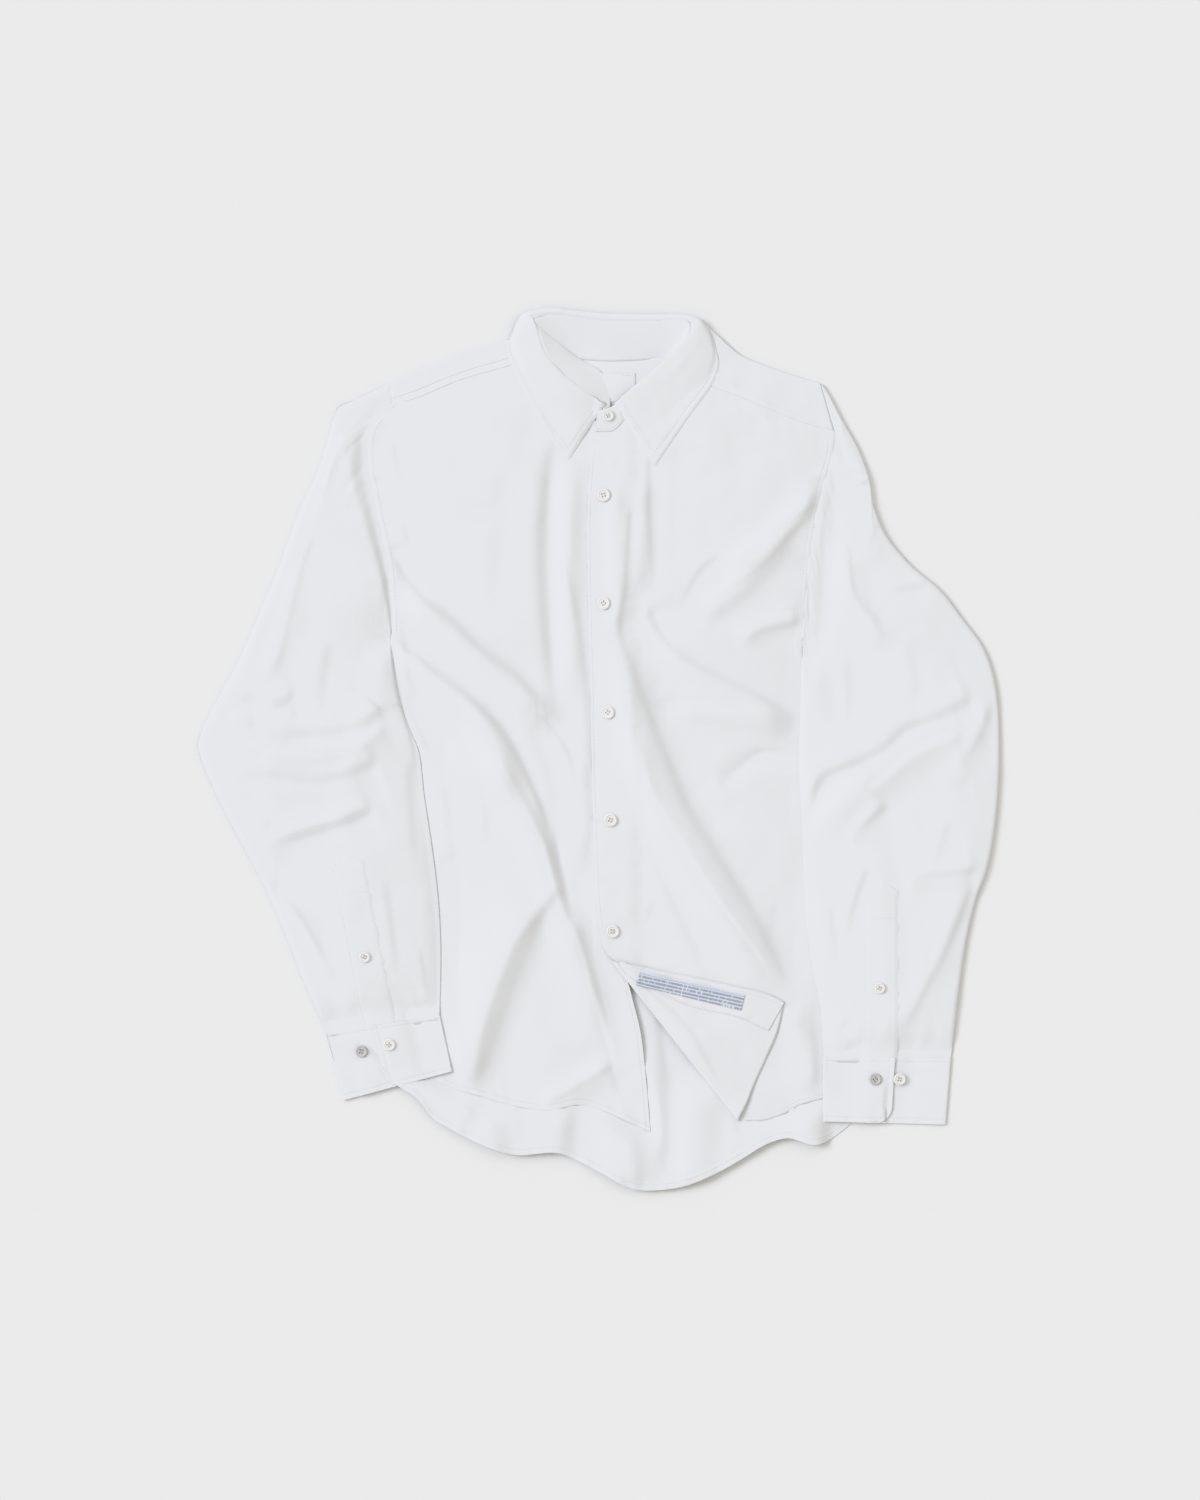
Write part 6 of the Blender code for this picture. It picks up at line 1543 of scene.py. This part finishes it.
def cloth_material(name, colour, shade, pitch, weave, sheen, roughness):
    """Plain-woven cotton: threads in colour and bump, slubs, soft mottling and a faint sheen."""
    tree, shader = new_material(name)
    uv = node(tree, "ShaderNodeUVMap", (), "UV", uv_map="cloth")
    place = node(tree, "ShaderNodeTexCoord", (), "Object")
    threads = woven(tree, uv, pitch)
    drawn_out = node(tree, "ShaderNodeMapping", {"Vector": uv, "Scale": (60.0, 900.0, 1.0)})
    slub = node(tree, "ShaderNodeTexNoise", {"Vector": drawn_out, "Scale": 1.0, "Detail": 3.0},
                "Fac")
    mottle = node(tree, "ShaderNodeTexNoise", {"Vector": place, "Scale": 28.0, "Detail": 4.0,
                                               "Roughness": 0.55}, "Fac")
    fine = maths(tree, "ADD", threads, slub)
    tone = maths(tree, "MULTIPLY_ADD", fine, 0.25, maths(tree, "MULTIPLY", mottle, 0.6))
    mixed = blend(tree, tone, shade, colour)
    rough = node(tree, "ShaderNodeMapRange", {"Value": mottle, "To Min": roughness - 0.05,
                                              "To Max": roughness + 0.05})
    bump = node(tree, "ShaderNodeBump", {"Height": fine, "Strength": weave, "Distance": 0.0001})
    feed(tree, shader, {"Base Color": mixed, "Roughness": rough, "Specular IOR Level": 0.25,
                        "Sheen Weight": sheen, "Sheen Roughness": 0.5, "Normal": bump})
    return tree, shader, mixed


def button_material(name, light, dark, roughness):
    """Polished shell: cloudy layers in colour, with a clear coat over a slightly uneven face."""
    tree, shader = new_material(name)
    place = node(tree, "ShaderNodeTexCoord", (), "Object")
    cloud = node(tree, "ShaderNodeTexNoise", {"Vector": place, "Scale": 240.0, "Detail": 5.0,
                                              "Distortion": 1.4}, "Fac")
    mixed = blend(tree, cloud, dark, light)
    bump = node(tree, "ShaderNodeBump", {"Height": cloud, "Strength": 0.15, "Distance": 0.0002})
    feed(tree, shader, {"Base Color": mixed, "Roughness": roughness, "Coat Weight": 0.35,
                        "Coat Roughness": 0.12, "Normal": bump})


def build_materials(settings):
    """Shirting for the body, its stiffer twin for collar and cuffs, tapes, thread and buttons."""
    white = tuple(settings.white * tint for tint in (1.0, 1.012, 1.035)) + (1.0,)
    shade = tuple(0.955 * value for value in white[:3]) + (1.0,)
    sewn = tuple(0.99 * value for value in white[:3]) + (1.0,)
    cloth_material("shirting", white, shade, 0.45, settings.weave, settings.sheen, 0.86)
    cloth_material("stiff_shirting", white, shade, 0.45, settings.weave, settings.sheen, 0.84)
    cloth_material("neck_tape", white, shade, 0.35, settings.weave, 0.15, 0.7)
    cloth_material("thread", sewn, shade, 0.2, 0.2, 0.1, 0.7)
    care_label_material()
    button_material("pearl_button", (0.86, 0.85, 0.83, 1), (0.74, 0.73, 0.71, 1), 0.22)
    button_material("grey_button", (0.62, 0.61, 0.59, 1), (0.42, 0.41, 0.40, 1), 0.24)


def care_label_material():
    """Satin tape with rows of short generic dashes in grey print.

    A dash is where noise along a row passes a level, in the lower part of the row's pitch.
    """
    tree, shader, tape = cloth_material("care_tape", (0.64, 0.68, 0.76, 1), (0.60, 0.64, 0.72, 1),
                                        0.25, 0.3, 0.1, 0.55)
    uv = node(tree, "ShaderNodeUVMap", (), "UV", uv_map="cloth")
    across, down = node(tree, "ShaderNodeSeparateXYZ", {"Vector": uv}).node.outputs[:2]
    rows = maths(tree, "DIVIDE", down, LABEL_ROW)
    row, part = maths(tree, "FLOOR", rows), maths(tree, "FRACT", rows)
    letters = node(tree, "ShaderNodeCombineXYZ", {"X": maths(tree, "MULTIPLY", across, 620.0),
                                                  "Y": maths(tree, "MULTIPLY", row, 7.3),
                                                  "Z": maths(tree, "MULTIPLY", row, 0.37)})
    words = node(tree, "ShaderNodeTexNoise", {"Scale": 1.0, "Detail": 1.0, "Vector": letters},
                 "Fac")
    inked = maths(tree, "GREATER_THAN", words, 0.38)
    line = maths(tree, "LESS_THAN", part, 0.62)
    inside = maths(tree, "GREATER_THAN", down, 0.0015)
    ink = maths(tree, "MULTIPLY", maths(tree, "MULTIPLY", inked, line), inside)
    feed(tree, shader, {"Base Color": blend(tree, ink, tape, (0.34, 0.37, 0.44, 1))})


def build_stage(settings):
    """Pale floor, soft daylight from the left and a camera straight above, in perspective."""
    size = settings.floor_size
    mesh = bpy.data.meshes.new("floor")
    half = size / 2
    mesh.from_pydata([(-half, -half, 0), (half, -half, 0), (half, half, 0), (-half, half, 0)], [],
                     [(0, 1, 2, 3)])
    floor = bpy.data.objects.new("floor", mesh)
    floor.location.z = -0.0002
    tree, shader = new_material("floor")
    place = node(tree, "ShaderNodeTexCoord", (), "Object")
    grain = node(tree, "ShaderNodeTexNoise", {"Vector": place, "Scale": 3.0}, "Fac")
    tones = [(tone, tone, tone, 1) for tone in (settings.floor_tone, settings.floor_tone * 1.004)]
    feed(tree, shader, {"Base Color": blend(tree, grain, *tones), "Roughness": 1.0,
                        "Specular IOR Level": 0.0})
    floor.data.materials.append(Pieces.materials["floor"])
    bpy.context.scene.collection.objects.link(floor)

    world = bpy.data.worlds.new("studio")
    bpy.context.scene.world = world
    world.use_nodes = True
    feed(world.node_tree, world.node_tree.nodes["Background"],
         {"Color": (1.04, 1.012, 0.96, 1.0), "Strength": settings.fill})
    for name, strength, azimuth, height in (
            ("window", settings.key, settings.key_azimuth, settings.key_height),
            ("panel", settings.second, settings.second_azimuth, settings.second_height)):
        light = bpy.data.lights.new(name, "SUN")
        light.energy = strength
        light.angle = settings.key_spread
        light.color = (0.91, 0.965, 1.085)
        lamp = bpy.data.objects.new(name, light)
        level = math.cos(height)
        towards = Vector((math.cos(azimuth) * level, math.sin(azimuth) * level, math.sin(height)))
        lamp.rotation_euler = towards.to_track_quat("Z", "Y").to_euler()
        lamp.location = towards * 3.0
        bpy.context.scene.collection.objects.link(lamp)

    data = bpy.data.cameras.new("camera")
    data.type = "PERSP"
    data.sensor_fit = "VERTICAL"
    data.sensor_height = SENSOR * 1000
    data.lens = SENSOR * 1000 * settings.camera_height / VIEW_HEIGHT
    data.clip_end = 50.0
    camera = bpy.data.objects.new("camera", data)
    camera.location = (VIEW_CENTRE[0], VIEW_CENTRE[1], settings.camera_height)
    bpy.context.scene.collection.objects.link(camera)
    bpy.context.scene.camera = camera
    bpy.context.scene.view_settings.view_transform = "Khronos PBR Neutral"


# ==== The add-on: settings, one operator for each step, and their panel
class ShirtSettings(bpy.types.PropertyGroup):
    """Finish of the cloth."""

    white: FloatProperty(
        name="White", description="Base tone of the cloth", default=0.765, min=0.1, max=0.95)
    weave: FloatProperty(
        name="Weave", description="Strength of the weave's bump", default=0.35, min=0.0, max=1.0)
    sheen: FloatProperty(
        name="Sheen", description="Soft edge glow of cotton", default=0.12, min=0.0, max=1.0)


class ShirtStage(bpy.types.PropertyGroup):
    """Floor, lights and camera."""

    floor_size: FloatProperty(
        name="Floor", description="Side of the floor", default=8.0, unit="LENGTH")
    floor_tone: FloatProperty(
        name="Floor tone", description="Floor's base tone", default=0.80, min=0.1, max=0.95)
    fill: FloatProperty(
        name="Fill", description="Strength of the even light", default=0.76, min=0.0)
    key: FloatProperty(
        name="Key", description="Strength of the light from the left", default=1.62, min=0.0)
    key_azimuth: FloatProperty(
        name="Key azimuth", description="Direction it comes from",
        default=math.radians(162), subtype="ANGLE")
    key_height: FloatProperty(
        name="Key height", description="Its height in the sky",
        default=math.radians(40), subtype="ANGLE")
    key_spread: FloatProperty(
        name="Spread", description="Apparent width of the lights",
        default=math.radians(26), subtype="ANGLE")
    second: FloatProperty(
        name="Second", description="Strength of the light from above", default=0.2, min=0.0)
    second_azimuth: FloatProperty(
        name="Second azimuth", description="Its direction",
        default=math.radians(100), subtype="ANGLE")
    second_height: FloatProperty(
        name="Second height", description="Its height", default=math.radians(42), subtype="ANGLE")
    camera_height: FloatProperty(
        name="Camera height", description="Above the floor", default=6.0, unit="LENGTH")


class SHIRT_OT_materials(bpy.types.Operator):
    """Make the materials that every piece uses."""

    bl_idname = "shirt.materials"
    bl_label = "Materials"

    def execute(self, context):
        build_materials(context.scene.shirt_cloth)
        return {"FINISHED"}


class SHIRT_OT_body(bpy.types.Operator):
    """Build the back, the yoke and both fronts."""

    bl_idname = "shirt.body"
    bl_label = "Body"

    def execute(self, context):
        build_back()
        build_yoke()
        build_right_front()
        build_left_front()
        return {"FINISHED"}


class SHIRT_OT_sleeves(bpy.types.Operator):
    """Build both sleeves with their cuffs and plackets."""

    bl_idname = "shirt.sleeves"
    bl_label = "Sleeves"

    def execute(self, context):
        for side in (RIGHT, LEFT):
            build_sleeve(side)
            build_cuff(side)
            build_placket(side)
        return {"FINISHED"}


class SHIRT_OT_collar(bpy.types.Operator):
    """Build the collar's stand and leaf."""

    bl_idname = "shirt.collar"
    bl_label = "Collar"

    def execute(self, context):
        build_collar()
        return {"FINISHED"}


class SHIRT_OT_trims(bpy.types.Operator):
    """Build the facing, the labels and the buttons."""

    bl_idname = "shirt.trims"
    bl_label = "Trims"

    def execute(self, context):
        build_trims()
        build_buttons()
        return {"FINISHED"}


class SHIRT_OT_stage(bpy.types.Operator):
    """Set the floor, the lights and the camera."""

    bl_idname = "shirt.stage"
    bl_label = "Stage"

    def execute(self, context):
        build_stage(context.scene.shirt_stage)
        return {"FINISHED"}


class SHIRT_PT_panel(bpy.types.Panel):
    """Settings and steps of the laid-out shirt."""

    bl_idname = "SHIRT_PT_panel"
    bl_label = "Laid-out Shirt"
    bl_space_type = "VIEW_3D"
    bl_region_type = "UI"
    bl_category = "Shirt"

    def draw(self, context):
        column = self.layout.column()
        for group in (context.scene.shirt_cloth, context.scene.shirt_stage):
            for name in group.__annotations__:
                column.prop(group, name)
        for step in STEPS:
            column.operator(step.bl_idname)


STEPS = (SHIRT_OT_materials, SHIRT_OT_body, SHIRT_OT_sleeves, SHIRT_OT_collar, SHIRT_OT_trims,
         SHIRT_OT_stage)
CLASSES = (ShirtSettings, ShirtStage) + STEPS + (SHIRT_PT_panel,)


def register():
    """Register the classes and hang their settings on the scene."""
    for entry in CLASSES:
        bpy.utils.register_class(entry)
    bpy.types.Scene.shirt_cloth = PointerProperty(type=ShirtSettings)
    bpy.types.Scene.shirt_stage = PointerProperty(type=ShirtStage)


def unregister():
    """Take them away again."""
    del bpy.types.Scene.shirt_cloth
    del bpy.types.Scene.shirt_stage
    for entry in reversed(CLASSES):
        bpy.utils.unregister_class(entry)


def main():
    """Run every step in order."""
    register()
    bpy.ops.shirt.materials()
    bpy.ops.shirt.body()
    bpy.ops.shirt.sleeves()
    bpy.ops.shirt.collar()
    bpy.ops.shirt.trims()
    bpy.ops.shirt.stage()
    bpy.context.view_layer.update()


if __name__ == "__main__":
    main()
